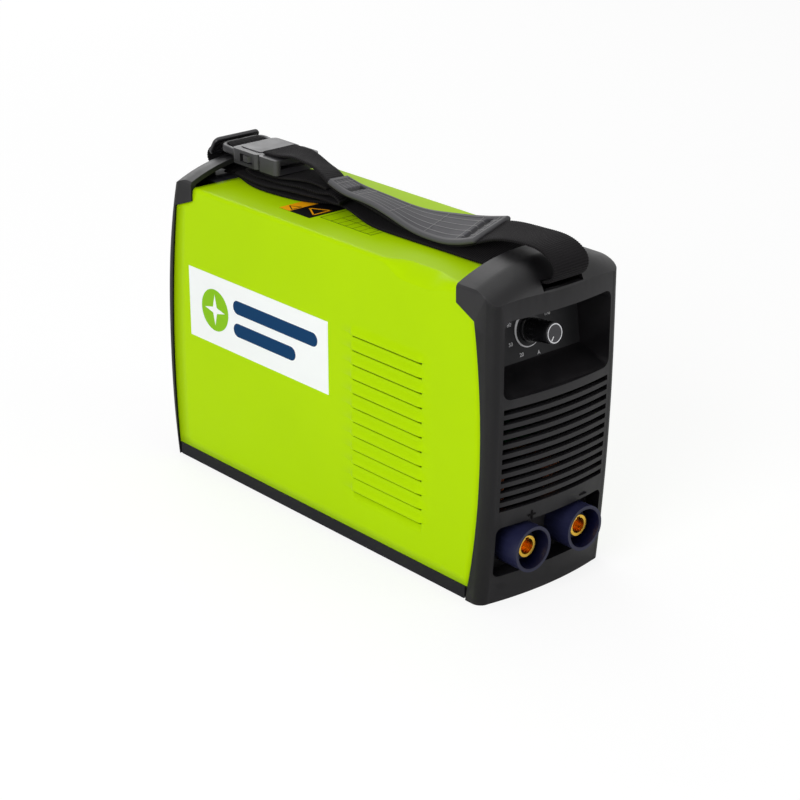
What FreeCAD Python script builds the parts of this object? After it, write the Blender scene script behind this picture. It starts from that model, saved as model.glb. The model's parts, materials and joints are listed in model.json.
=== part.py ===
import FreeCAD, Part
import math
import os
import re
import Sketcher
from FreeCAD import Placement, Rotation, Vector

# Stick welding inverter: a folded steel cover on a base tray between two moulded end bezels.
# Millimetres, +Z up. The front looks along -Y, X is the width, and the origin is the centre of the
# base on the surface that the machine stands on. Every size below is a cell of the document's sheet.

SIZES = {
    # the whole machine
    "machine_length": 296.8,
    "machine_width": 93.0,
    "cover_top": 177.0,
    "front_rise": 11.0,
    "rear_rise": 13.5,
    "tray_height": 7.7,
    # sheet metal
    "cover_inset": 1.0,
    "sheet": 1.2,
    "fold_round": 2.5,
    "seam": 0.35,
    "tongue_side": 9.5,
    "tongue_reach": 10.0,
    # louvres pressed into both sides of the cover
    "louvre_count": 12.0,
    "louvre_pitch": 8.53,
    "louvre_foot": 32.9,
    "louvre_end": 117.4,
    "louvre_length": 58.7,
    "louvre_rise": 5.5,
    "louvre_out": 1.8,
    "louvre_lap": 1.6,
    "louvre_gap_foot": 0.6,
    "louvre_gap": 1.8,
    "louvre_gap_end": 3.0,
    # labels, from the front face and from the base
    "side_label_start": 137.6,
    "side_label_length": 130.2,
    "side_label_foot": 84.0,
    "side_label_height": 43.8,
    "label_film": 0.15,
    "top_label_edge": 15.5,
    "top_label_width": 43.0,
    "rating_label_start": 123.4,
    "rating_label_length": 45.0,
    "rating_label_inset": 5.0,
    "caution_label_start": 170.4,
    "caution_label_length": 27.0,
    # both bezels
    "bezel_wall": 3.0,
    "bow": 5.2,
    "arch_radius": 110.0,
    "arch_margin": 0.05,
    "edge_round": 6.0,
    "corner_round": 4.0,
    "nose_round": 20.0,
    "lip": 2.0,
    "lip_reach": 6.0,
    # front bezel, depths measured back from the front face
    "front_rim": 32.4,
    "front_foot_setback": 7.0,
    "front_upright": 130.0,
    "front_edge_foot": 23.8,
    "front_edge_middle": 12.9,
    "front_edge_middle_height": 84.0,
    "front_edge_shoulder": 18.7,
    "front_shoulder_drop": 15.8,
    "front_ear_drop": 9.0,
    # rear bezel, depths measured forward from the rear face
    "rear_rim": 35.4,
    "rear_head_setback": 11.0,
    "rear_foot_setback": 4.5,
    "rear_upright": 60.0,
    "rear_edge_foot": 13.1,
    "rear_edge_middle": 10.3,
    "rear_edge_middle_height": 62.0,
    "rear_edge_shoulder": 18.9,
    "rear_shoulder_drop": 14.0,
    "rear_ear_drop": 8.0,
    "brow_drop": 7.0,
    "brow_power": 2.6,
    # control window
    "window_side": 7.5,
    "window_height": 43.5,
    "window_drop": 14.0,
    "window_round": 5.0,
    "recess_wall": 2.0,
    "recess_depth": 25.4,
    "floor_rise": 7.5,
    "panel_tilt": 8.0,
    "panel_thick": 1.6,
    "panel_overlap": 1.6,
    # current knob
    "knob_x": 2.0,
    "knob_rise": 23.5,
    "knob_gap": 0.4,
    "knob_length": 19.0,
    "knob_skirt": 7.3,
    "knob_skirt_thick": 2.6,
    "knob_root": 6.5,
    "knob_tip": 5.9,
    "knob_cap_radius": 5.4,
    "knob_cap_thick": 1.2,
    "spindle": 3.0,
    "spindle_clearance": 0.05,
    "bush": 3.8,
    "lamp_radius": 1.5,
    "lamp_x": 27.0,
    "lamp_spread": 8.0,
    "lamp_length": 6.0,
    "lamp_proud": 1.2,
    "spindle_reach": 9.0,
    "pot_radius": 12.0,
    "pot_depth": 11.6,
    "bush_proud": 2.6,
    "bush_nut_thick": 2.0,
    "bush_nut_wall": 1.3,
    # cooling grilles
    "grille_side": 8.0,
    "grille_foot": 55.5,
    "grille_slot": 3.0,
    "grille_pitch": 5.6,
    "grille_count": 11.0,
    "rear_grille_side": 10.5,
    "rear_grille_foot": 61.2,
    "rear_grille_pitch": 6.8,
    "rear_grille_slot": 3.6,
    # output sockets
    "pocket_side": 7.0,
    "pocket_below": 1.7,
    "pocket_above": 2.3,
    "pocket_round": 4.0,
    "pocket_depth": 17.0,
    "pocket_wall": 2.5,
    "socket_spread": 39.2,
    "socket_height": 30.7,
    "cup_radius": 13.0,
    "cup_wall": 1.9,
    "cup_proud": 1.6,
    "cup_floor": 3.0,
    "neck_radius": 9.0,
    "contact_radius": 6.1,
    "contact_bore": 4.5,
    "contact_recess": 5.0,
    "contact_bore_depth": 14.0,
    "contact_stud": 4.0,
    "contact_stud_length": 16.0,
    "contact_fit": 0.05,
    "sleeve_wall": 2.0,
    "sleeve_sink": 3.0,
    "key_half": 1.2,
    "key_depth": 0.8,
    "key_length": 9.0,
    "washer_lap": 2.0,
    "washer_thick": 1.5,
    "nut_radius": 7.5,
    "nut_thick": 6.0,
    # carrying strap
    "webbing_half": 12.5,
    "webbing": 1.8,
    "webbing_gap": 0.5,
    "pad_gap": 0.6,
    "strap_span": 198.4,
    "strap_slot_side": 2.0,
    "strap_slot_sink": 2.5,
    "strap_slot_height": 5.3,
    "pad_side": 2.5,
    "pad_thick": 3.0,
    "buckle_side": 4.0,
    "buckle_thick": 9.0,
    "buckle_wall": 1.6,
    "buckle_lift": 10.6,
    "buckle_setback": 36.0,
    "buckle_length": 42.4,
    "buckle_socket_length": 24.4,
    "buckle_seam": 0.3,
    "buckle_round": 3.0,
    "webbing_play": 0.4,
    "plug_mouth": 6.0,
    "tongue_bar_half": 4.5,
    "prong_root": 5.5,
    "prong_shank": 2.8,
    "prong_gap": 1.0,
    # rear fittings
    "fitting_side": 9.5,
    "fitting_sink": 0.6,
    "fitting_thick": 8.4,
    "fitting_foot": 13.0,
    "fitting_head": 56.0,
    "switch_x": 19.0,
    "switch_height": 35.0,
    "switch_half_width": 10.5,
    "switch_half_height": 14.0,
    "switch_depth": 20.0,
    "switch_flange": 1.6,
    "switch_flange_margin": 1.8,
    "switch_wall": 1.3,
    "switch_throw": 20.0,
    "rocker_gap": 0.5,
    "rocker_pin": 1.5,
    "rocker_depth": 4.0,
    "rocker_proud": 4.4,
    "gland_x": 21.0,
    "gland_height": 34.0,
    "gland_thread": 7.6,
    "gland_bore": 4.0,
    "gland_flange": 11.0,
    "gland_flange_thick": 4.0,
    "gland_spout": 8.0,
    "gland_length": 16.0,
    "gland_cap_length": 11.0,
    "gland_nut_thick": 5.0,
    "earth_height": 21.0,
    "earth_radius": 3.0,
    "earth_core": 2.6,
    "earth_reach": 16.0,
    "earth_inside": 20.0,
    "earth_washer": 6.0,
    "earth_washer_thick": 1.2,
    "earth_nut": 5.4,
    "earth_nut_thick": 4.6,
    # fan
    "fan_size": 80.0,
    "fan_thick": 25.0,
    "fan_height": 97.0,
    "fan_throat": 38.0,
    "fan_blade_reach": 36.5,
    "fan_hub": 17.0,
    "fan_axle": 1.5,
    "fan_screw_pitch": 71.5,
    "fan_screw": 2.0,
    "fan_boss_wall": 2.2,
    "fan_screw_bite": 5.5,
    "fan_setback": 12.5,
    "fan_blade_count": 7.0,
    "fan_blade_chord": 15.0,
    "fan_blade_thick": 1.4,
    "fan_blade_root": 2.0,
    "fan_plate": 3.0,
    "fan_arm_half": 2.0,
    "fan_floor": 4.0,
    "fan_float": 0.6,
    # inside
    "board_height": 62.0,
    "board_thick": 1.6,
    "board_side": 6.5,
    "board_front_clear": 53.4,
    "board_rear_clear": 70.4,
    "board_corner": 6.0,
    "bus_width": 13.0,
    "bus_thick": 2.0,
    "bus_offset": 1.5,
    "bus_landing": 15.0,
    "post_radius": 3.5,
    "control_post_radius": 2.5,
    "fin_thick": 1.8,
    "fin_base": 5.0,
    "transformer_half": 28.0,
    "transformer_height": 50.0,
    "transformer_depth": 56.0,
    "winding_reach": 10.0,
    "core_leg": 9.0,
    "core_window": 11.0,
    "winding_gap": 0.3,
}

# Places that follow from the sizes, by name.
PLACES = {
    "front_crown": "cover_top + front_rise",
    "rear_crown": "cover_top + rear_rise",
    "front_shoulder_height": "cover_top - front_shoulder_drop",
    "front_ear_height": "cover_top - front_ear_drop",
    "rear_shoulder_height": "cover_top - rear_shoulder_drop",
    "rear_ear_height": "cover_top - rear_ear_drop",
    "tongue_half": "machine_width / 2 - tongue_side",
    "window_half": "machine_width / 2 - window_side",
    "window_head": "cover_top - window_drop",
    "window_foot": "cover_top - window_drop - window_height",
    "knob_height": "window_foot + knob_rise",
    "grille_half": "machine_width / 2 - grille_side",
    "rear_grille_half": "machine_width / 2 - rear_grille_side",
    "pocket_half": "machine_width / 2 - pocket_side",
    "pocket_foot": "socket_height - cup_radius - pocket_below",
    "pocket_head": "socket_height + cup_radius + pocket_above",
    "strap_slot_half": "webbing_half + strap_slot_side",
    "strap_slot_foot": "cover_top - strap_slot_sink",
    "strap_slot_head": "strap_slot_foot + strap_slot_height",
    "pad_half": "webbing_half + pad_side",
    "buckle_half": "webbing_half + buckle_side",
    "buckle_foot": "cover_top + buckle_lift",
    "buckle_rear": "machine_length / 2 - buckle_setback",
    "buckle_joint": "buckle_rear - buckle_socket_length",
    "buckle_front": "buckle_rear - buckle_length",
    "fitting_half": "machine_width / 2 - fitting_side",
    "board_half": "machine_width / 2 - board_side",
    "board_front": "machine_length / 2 - board_front_clear",
    "board_rear": "machine_length / 2 - board_rear_clear",
}

document = FreeCAD.newDocument("stick_welding_inverter")
sheet = document.addObject("Spreadsheet::Sheet", "sizes")
for row, (alias, amount) in enumerate(SIZES.items(), start=1):
    sheet.set(f"A{row}", alias)
    sheet.set(f"B{row}", str(amount))
    sheet.setAlias(f"B{row}", alias)
document.recompute()

ALIASES = re.compile(r"\b(" + "|".join(SIZES) + r")\b")
NAMED_PLACES = re.compile(r"\b(" + "|".join(PLACES) + r")\b")
TURNS = {
    "x": Rotation(Vector(0, 1, 0), 90),
    "y": Rotation(Vector(1, 0, 0), -90),
    "z": Rotation(),
}
PLANES = {
    "XY": (Rotation(), "z", Vector(0, 0, 1)),
    "XZ": (Rotation(Vector(1, 0, 0), 90), "y", Vector(0, 1, 0)),
    "YZ": (Rotation(Vector(1, 1, 1), 120), "x", Vector(1, 0, 0)),
}
HALF = 1 / math.sqrt(2)
BLADE_PITCH = 52
PIECES = []


# ---------------------------------------------------------------- expressions and outlines

def spelled(text):
    """An expression with every named place written out in the sheet's aliases."""
    text = str(text)
    while NAMED_PLACES.search(text):
        text = NAMED_PLACES.sub(lambda found: f"({PLACES[found.group(1)]})", text)
    return text


def linked(text):
    """An expression on the sheet's aliases, as the document's objects need it."""
    return ALIASES.sub(r"sizes.\1", spelled(text))


def number(text):
    """What an expression on the sheet's aliases is worth now."""
    return float(sheet.evalExpression(spelled(text)))


def bind(thing, **properties):
    """Tie properties to expressions on the sheet; two underscores stand for a dot."""
    for name, text in properties.items():
        thing.setExpression(name.replace("__", "."), linked(text))


def place(thing, at, turn=None):
    """Put a thing at a point given by three expressions, turned by a fixed rotation."""
    thing.Placement = Placement(Vector(), turn or Rotation())
    for letter, text in zip("xyz", at):
        thing.setExpression("Placement.Base." + letter, linked(text))


def to(across, up):
    """A corner of an outline, reached from the last one."""
    return ("to", str(across), str(up))


def via(across, up):
    """A point that the round stretch between two corners passes through."""
    return ("via", str(across), str(up))


def draw(sketch, outline):
    """Draw one closed outline, with every corner and every via tied to the sheet."""
    stretches = []
    for index, (kind, across, up) in enumerate(outline):
        if kind == "via":
            continue
        following = outline[(index + 1) % len(outline)]
        middle = following if following[0] == "via" else None
        target = outline[(index + 2) % len(outline)] if middle else following
        stretches.append(((across, up), middle, target[1:]))
    first = sketch.GeometryCount
    ends = []
    for start, middle, target in stretches:
        here = Vector(number(start[0]), number(start[1]), 0)
        there = Vector(number(target[0]), number(target[1]), 0)
        if middle is None:
            sketch.addGeometry(Part.LineSegment(here, there), False)
            ends.append((1, 2))
            continue
        between = Vector(number(middle[1]), number(middle[2]), 0)
        if (between - here).cross(there - between).z > 0:
            sketch.addGeometry(Part.ArcOfCircle(here, between, there), False)
            ends.append((1, 2))
        else:
            sketch.addGeometry(Part.ArcOfCircle(there, between, here), False)
            ends.append((2, 1))
    ties = []
    names = []
    for index, (start, middle, target) in enumerate(stretches):
        before = (index - 1) % len(stretches)
        ties.append(Sketcher.Constraint("Coincident", first + before, ends[before][1],
                                        first + index, ends[index][0]))
        names.append(None)
        for kind, text in zip(("DistanceX", "DistanceY"), start):
            ties.append(Sketcher.Constraint(kind, -1, 1, first + index, ends[index][0], number(text)))
            names.append((f"{kind}{first + index}", text))
        if middle is None:
            continue
        mark = sketch.addGeometry(
            Part.Point(Vector(number(middle[1]), number(middle[2]), 0)), True)
        for kind, text in zip(("DistanceX", "DistanceY"), middle[1:]):
            ties.append(Sketcher.Constraint(kind, -1, 1, mark, 1, number(text)))
            names.append((f"{kind}{mark}", text))
        ties.append(Sketcher.Constraint("PointOnObject", mark, 1, first + index))
        names.append(None)
    numbers = sketch.addConstraint(ties)
    for index, name in zip(numbers, names):
        if name:
            sketch.renameConstraint(index, name[0])
            sketch.setExpression("Constraints." + name[0], linked(name[1]))


def rectangle(left, right, foot, head, radius=None):
    """A rectangle's outline, with round corners where a radius is given."""
    if radius is None:
        return [to(left, foot), to(right, foot), to(right, head), to(left, head)]
    inset = f"({radius}) * {1 - HALF:.6f}"
    return [
        to(f"({left}) + {radius}", foot), to(f"({right}) - {radius}", foot),
        via(f"({right}) - {inset}", f"({foot}) + {inset}"),
        to(right, f"({foot}) + {radius}"), to(right, f"({head}) - {radius}"),
        via(f"({right}) - {inset}", f"({head}) - {inset}"),
        to(f"({right}) - {radius}", head), to(f"({left}) + {radius}", head),
        via(f"({left}) + {inset}", f"({head}) - {inset}"),
        to(left, f"({head}) - {radius}"), to(left, f"({foot}) + {radius}"),
        via(f"({left}) + {inset}", f"({foot}) + {inset}"),
    ]


def outline_sketch(name, plane, outline, start):
    """A sketch of one outline on a plane of the frame, at a distance along the plane's normal axis."""
    turn, letter, _ = PLANES[plane]
    sketch = document.addObject("Sketcher::SketchObject", name + "_outline")
    sketch.Placement = Placement(Vector(), turn)
    sketch.setExpression("Placement.Base." + letter, linked(start))
    draw(sketch, outline)
    return sketch


def prism(name, plane, outline, start, end):
    """An outline on one plane of the frame, carried straight along the plane's normal axis."""
    solid = document.addObject("Part::Extrusion", name)
    solid.Base = outline_sketch(name, plane, outline, start)
    solid.DirMode = "Custom"
    solid.Dir = PLANES[plane][2]
    solid.Solid = True
    bind(solid, LengthFwd=f"({end}) - ({start})")
    return solid


def box(name, across, along, up):
    """A box between two expressions on each axis."""
    solid = document.addObject("Part::Box", name)
    spans = (("Length", across), ("Width", along), ("Height", up))
    for side, (low, high) in spans:
        solid.setExpression(side, linked(f"({high}) - ({low})"))
    place(solid, (across[0], along[0], up[0]))
    return solid


def rod(name, at, axis, radius, length):
    """A cylinder from a point along X, Y or Z."""
    solid = document.addObject("Part::Cylinder", name)
    bind(solid, Radius=radius, Height=length)
    place(solid, at, TURNS[axis])
    return solid


def fuse(name, *solids):
    """Several solids joined into one piece."""
    joined = document.addObject("Part::MultiFuse", name)
    joined.Shapes = list(solids)
    joined.Refine = True
    return joined


def common(name, *solids):
    """What several solids share."""
    shared = document.addObject("Part::MultiCommon", name)
    shared.Shapes = list(solids)
    return shared


def cut(name, solid, *tools):
    """A solid less one or more tools."""
    left = document.addObject("Part::Cut", name)
    left.Base = solid
    left.Tool = tools[0] if len(tools) == 1 else fuse(name + "_tools", *tools)
    return left


def group(name, *solids):
    """Separate solids that share one node."""
    together = document.addObject("Part::Compound", name)
    together.Links = list(solids)
    return together


def piece(solid):
    """Note a finished sub-part; its Label names its file."""
    PIECES.append(solid)
    return solid


# ---------------------------------------------------------------- PartDesign bodies

def body_sketch(body, plane, outlines, start):
    """A sketch on one of the body's own origin planes, moved along the plane's normal."""
    sketch = body.newObject("Sketcher::SketchObject", body.Name + "_sketch")
    origin_plane = [item for item in body.Origin.OriginFeatures if item.Role == plane + "_Plane"][0]
    sketch.AttachmentSupport = [(origin_plane, "")]
    sketch.MapMode = "FlatFace"
    sign = "-" if plane == "XZ" else ""
    sketch.setExpression("AttachmentOffset.Base.z", linked(f"{sign}({start})"))
    for outline in outlines:
        draw(sketch, outline)
    return sketch


def pad(body, plane, outlines, start, end):
    """A pad of the outlines from one expression to another along the plane's axis."""
    feature = body.newObject("PartDesign::Pad", body.Name + "_pad")
    feature.Profile = body_sketch(body, plane, outlines, start)
    feature.Reversed = plane == "XZ"
    bind(feature, Length=f"({end}) - ({start})")
    return feature


def pocket(body, plane, outlines, start, end):
    """A pocket of the outlines from one expression to another along the plane's axis."""
    document.recompute()
    before = body.Shape.Volume
    feature = body.newObject("PartDesign::Pocket", body.Name + "_pocket")
    feature.Profile = body_sketch(body, plane, outlines, start)
    feature.Reversed = plane != "XZ"
    bind(feature, Length=f"({end}) - ({start})")
    document.recompute()
    if not body.Shape.Volume < before:
        raise ValueError(f"a pocket of {body.Label} removes nothing")
    return feature


def plate(name, plane, outlines, start, end):
    """A PartDesign body of one pad."""
    body = document.addObject("PartDesign::Body", name)
    pad(body, plane, outlines, start, end)
    return body


def square(across, up, half):
    """The outline of a small square window about a point."""
    return rectangle(f"({across}) - ({half})", f"({across}) + ({half})",
                     f"({up}) - ({half})", f"({up}) + ({half})")


def disc(across, up, radius):
    """A circle's outline, as two half turns."""
    return [to(f"({across}) - ({radius})", up), via(across, f"({up}) - ({radius})"),
            to(f"({across}) + ({radius})", up), via(across, f"({up}) + ({radius})")]


# ---------------------------------------------------------------- shared places

SIDE = "machine_width / 2"
COVER_SIDE = "(machine_width / 2 - cover_inset)"
FRONT = "(-machine_length / 2)"
REAR = "(machine_length / 2)"
REAR_BROW = f"({REAR} - rear_head_setback)"
FITTING = f"({REAR} - fitting_sink)"
FAN_BACK = f"({REAR} - fan_setback)"
FAN_FRONT = f"({FAN_BACK} - fan_thick)"
FAR = "machine_length"
BOARD_TOP = "(board_height + board_thick)"


def front_face(height):
    """The front face's middle line: upright above, set back towards the foot."""
    return f"{FRONT} + front_foot_setback * max(0; 1 - ({height}) / front_upright)^2"


def rear_face(height):
    """The rear face's middle line: set forward towards the head and a little towards the foot."""
    rise = f"(({height}) / rear_upright - 1) / ((cover_top - brow_drop) / rear_upright - 1)"
    head = f"rear_head_setback * max(0; {rise})^brow_power"
    foot = f"rear_foot_setback * max(0; 1 - ({height}) / rear_upright)^2"
    return f"{REAR} - {head} - {foot}"


def panel_y(height):
    """Where the tilted control panel's front face stands at a height."""
    return f"({FRONT} + recess_depth + (({height}) - window_foot - floor_rise) * tan(panel_tilt))"


def from_panel(distance):
    """A point on the knob's axis, out from the control panel."""
    base = panel_y("knob_height")
    return ("knob_x", f"{base} - cos(panel_tilt) * ({distance})",
            f"knob_height + sin(panel_tilt) * ({distance})")


def tilted_rod(name, distance, radius, length, tip=None):
    """A cylinder, or a cone where a tip radius is given, on the knob's axis."""
    solid = document.addObject("Part::Cone" if tip else "Part::Cylinder", name)
    if tip:
        bind(solid, Radius1=radius, Radius2=tip, Height=length)
    else:
        bind(solid, Radius=radius, Height=length)
    place(solid, from_panel(distance), Rotation(Vector(1, 0, 0), 82))
    bind(solid, Placement__Rotation__Angle="90 - panel_tilt")
    return solid


# ---------------------------------------------------------------- bezels

def plan_outline(face, back, inset, outward):
    """A bezel from above: a bowed face with rounded upright edges, open to its back line."""
    half = f"({SIDE} - {inset})"
    radius = f"(edge_round - {inset} / 2)"
    near = f"(({face}) - {outward} * {inset})"
    corner = f"({half} - {radius})"
    shoulder = f"{near} - {outward} * bow * ({corner} / ({SIDE}))^2"
    bend = f"{1 - HALF:.6f} * {radius}"
    return [
        to(f"-{half}", back),
        to(f"-{half}", f"{shoulder} - {outward} * {radius}"),
        via(f"-{half} + {bend}", f"{shoulder} - {outward} * {bend}"),
        to(f"-{corner}", shoulder),
        via("0", near),
        to(corner, shoulder),
        via(f"{half} - {bend}", f"{shoulder} - {outward} * {bend}"),
        to(half, f"{shoulder} - {outward} * {radius}"),
        to(half, back),
    ]


def arch_outline(crown, inset):
    """A bezel from the front: flat foot, straight sides and round top corners, open above them."""
    half = f"({SIDE} - {inset} + arch_margin)"
    radius = f"(corner_round - {inset} / 3)"
    corner = f"({half} - {radius})"
    spring = f"({crown} - arch_radius + sqrt((arch_radius - {inset})^2 - {corner}^2))"
    bend = f"{1 - HALF:.6f} * {radius}"
    return [
        to(f"-{half}", inset), to(half, inset),
        to(half, f"{spring} - {radius}"),
        via(f"{half} - {bend}", f"{spring} - {bend}"),
        to(corner, spring),
        to(f"{corner} - 2 * {radius}", f"{crown} + 10"), to(f"2 * {radius} - {corner}", f"{crown} + 10"),
        to(f"-{corner}", spring),
        via(f"-{half} + {bend}", f"{spring} - {bend}"),
        to(f"-{half}", f"{spring} - {radius}"),
    ]


def nose_outline(brow, crown, back, inset, outward):
    """The arched head in the side view, above the arch's axis, with the rounding of its nose."""
    near = f"({brow} + {outward} * (0.5 - {inset}))"
    top = f"({crown} - {inset})"
    radius = f"(nose_round - {inset})"
    bend = f"{1 - HALF:.6f} * {radius}"
    far = f"({near} + {outward} * 20)"
    axis = f"({crown} - arch_radius)"
    return [
        to(back, axis), to(far, axis), to(far, f"{top} - {radius} - 12"),
        to(near, f"{top} - {radius}"),
        via(f"{near} - {outward} * {bend}", f"{top} - {bend}"),
        to(f"{near} - {outward} * {radius}", top),
        to(back, top),
    ]


def bezel_block(name, face, brow, crown, levels, back, inset, outward):
    """The solid inside a bezel's outer skin, or inside its inner skin where an inset is given."""
    sections = []
    for index, level in enumerate(levels):
        outline = plan_outline(face(level), back, inset, outward)
        sections.append(outline_sketch(f"{name}_level_{index}", "XY", outline, level))
    loft = document.addObject("Part::Loft", name + "_loft")
    loft.Sections = sections
    loft.Solid = True
    loft.Ruled = False
    limit = ("-" + FAR, "-1") if outward == "-1" else ("1", FAR)
    arch = prism(name + "_arch", "XZ", arch_outline(crown, inset), *limit)
    head = document.addObject("Part::Revolution", name + "_head")
    head.Source = outline_sketch(name + "_head", "YZ",
                                 nose_outline(brow, crown, f"({back} - {outward} * 2)", inset, outward), "0")
    head.Axis = Vector(0, 1, 0)
    bind(head, Base__z=f"{crown} - arch_radius")
    head.Angle = 180
    head.Symmetric = True
    head.Solid = True
    trunk = prism(name + "_trunk", "XZ", rectangle("-machine_width", "machine_width", "-10",
                  f"{crown} - arch_radius + 20"), *limit)
    return common(name, common(name + "_arched", loft, arch), fuse(name + "_keep", head, trunk))


def slot_row(name, count, half, foot, pitch, slot, along):
    """A row of equal level slots, as one tool."""
    slots = []
    for index in range(int(number(count))):
        low = f"{foot} + {index} * {pitch}"
        slots.append(box(f"{name}_{index}", (f"-{half}", half), along, (low, f"{low} + {slot}")))
    return fuse(name, *slots)


def side_skin(name, outline):
    """The outer skin's waste on both sides, beyond the lip that runs under the cover."""
    inner = f"{COVER_SIDE} - sheet - contact_fit"
    left = prism(name + "_left", "YZ", outline, "-machine_width", f"-({inner})")
    right = prism(name + "_right", "YZ", outline, inner, "machine_width")
    return left, right


def front_edge(extra="0"):
    """The line in the side view where the front bezel ends and the cover begins, and all behind it."""
    return [
        to(f"{FRONT} + front_edge_foot + {extra}", "-5"),
        via(f"{FRONT} + front_edge_middle + {extra}", "front_edge_middle_height"),
        to(f"{FRONT} + front_edge_shoulder + {extra}", "front_shoulder_height"),
        to(f"{FRONT} + front_rim + {extra}", "front_ear_height"),
        to(f"{FRONT} + front_rim + {extra}", "front_crown + 20"),
        to("0", "front_crown + 20"), to("0", "-5"),
    ]


def rear_edge(extra="0"):
    """The line in the side view where the rear bezel ends and the cover begins, and all before it."""
    return [
        to("0", "-5"), to("0", "rear_crown + 20"),
        to(f"{REAR} - rear_rim - {extra}", "rear_crown + 20"),
        to(f"{REAR} - rear_rim - {extra}", "rear_ear_height"),
        to(f"{REAR} - rear_edge_shoulder - {extra}", "rear_shoulder_height"),
        via(f"{REAR} - rear_edge_middle - {extra}", "rear_edge_middle_height"),
        to(f"{REAR} - rear_edge_foot - {extra}", "-5"),
    ]


def make_front_bezel():
    levels = ["-6", *[f"{share} * front_crown" for share in (0.16, 0.35, 0.54, 0.73)], "front_crown + 6"]
    back = f"{FRONT} + front_rim + lip_reach"
    outer = bezel_block("front_skin", front_face, FRONT, "front_crown", levels, back, "0", "-1")
    inner = bezel_block("front_hollow", front_face, FRONT, "front_crown", levels,
                        f"({back} + 5)", "bezel_wall", "-1")
    shell = cut("front_shell", outer, inner)

    recess_floor = [
        to(f"{FRONT} - 20", "window_foot - recess_wall"),
        to(panel_y("window_foot - recess_wall"), "window_foot - recess_wall"),
        to(panel_y("window_head + recess_wall"), "window_head + recess_wall"),
        to(f"{FRONT} - 20", "window_head + recess_wall"),
    ]
    recess_walls = prism("recess_walls", "YZ", recess_floor,
                         "-window_half - recess_wall", "window_half + recess_wall")
    pocket_walls = box("pocket_walls", ("-pocket_half - recess_wall", "pocket_half + recess_wall"),
                       (f"{FRONT} - 20", f"{FRONT} + pocket_depth + pocket_wall"),
                       ("pocket_foot - recess_wall", "pocket_head + recess_wall"))
    walls = common("front_walls", fuse("front_wall_boxes", recess_walls, pocket_walls), outer)
    solid = fuse("front_solid", shell, walls)

    window = prism("window_tunnel", "XZ",
                   rectangle("-window_half", "window_half", "window_foot", "window_head",
                             "window_round"), f"{FRONT} - 20", f"{FRONT} + front_rim + 5")
    slope = prism("window_slope", "YZ", [
        to(f"{FRONT} - 20", "window_foot"), to(f"{FRONT} + 3", "window_foot"),
        to(panel_y("window_foot + floor_rise"), "window_foot + floor_rise"),
        to(f"{FRONT} + front_rim + 5", "window_foot + floor_rise"),
        to(f"{FRONT} + front_rim + 5", "window_head + 1"), to(f"{FRONT} - 20", "window_head + 1"),
    ], "-machine_width / 2", "machine_width / 2")
    pocket_space = prism("pocket_space", "XZ",
                         rectangle("-pocket_half", "pocket_half", "pocket_foot", "pocket_head",
                                   "pocket_round"), f"{FRONT} - 20", f"{FRONT} + pocket_depth")
    holes = []
    for side, name in (("-", "positive"), ("", "negative")):
        holes.append(rod(name + "_neck_hole",
                         (f"{side}socket_spread / 2", f"{FRONT} + pocket_depth - 5", "socket_height"),
                         "y", "neck_radius + contact_fit", "pocket_wall + 10"))
    strap_slot = box("front_strap_slot", ("-strap_slot_half", "strap_slot_half"),
                     (f"{FRONT} - 5", f"{FRONT} + bezel_wall + nose_round / 2"),
                     ("strap_slot_foot", "strap_slot_head"))
    grille = slot_row("front_grille", "grille_count", "grille_half", "grille_foot", "grille_pitch",
                      "grille_slot", (f"{FRONT} - 5", f"{FRONT} + pocket_depth - 2"))
    edge_left, edge_right = side_skin("front_waste", front_edge())
    head_waste = box("front_head_waste", ("-machine_width", "machine_width"),
                     (f"{FRONT} + front_rim", "0"),
                     ("cover_top - sheet - seam - 1", "front_crown + 20"))
    foot_waste = box("front_foot_waste", ("-machine_width", "machine_width"),
                     (f"{FRONT} + front_edge_foot", "0"), ("-5", "sheet + seam"))
    tongue = box("front_tongue_slot", ("-tongue_half - seam", "tongue_half + seam"),
                 (f"{FRONT} + front_rim - tongue_reach - 2 * seam", "0"),
                 ("cover_top - sheet - seam", "cover_top + seam"))
    return piece(cut("front_bezel", solid, common("window_space", window, slope), pocket_space,
                     *holes, strap_slot, grille, edge_left, edge_right, head_waste, foot_waste,
                     tongue))


def fan_corners():
    """The four screw places about the fan's axis."""
    return [(f"{column}fan_screw_pitch / 2", f"fan_height {level} fan_screw_pitch / 2")
            for column in ("-", "") for level in ("-", "+")]


def fan_boss_rods(name):
    """The four bosses that the fan is screwed to, as rods out to the rear face."""
    return [rod(f"{name}_{index}", (across, FAN_BACK, up), "y", "fan_screw + fan_boss_wall",
                f"{REAR} - {FAN_BACK}") for index, (across, up) in enumerate(fan_corners())]


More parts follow.
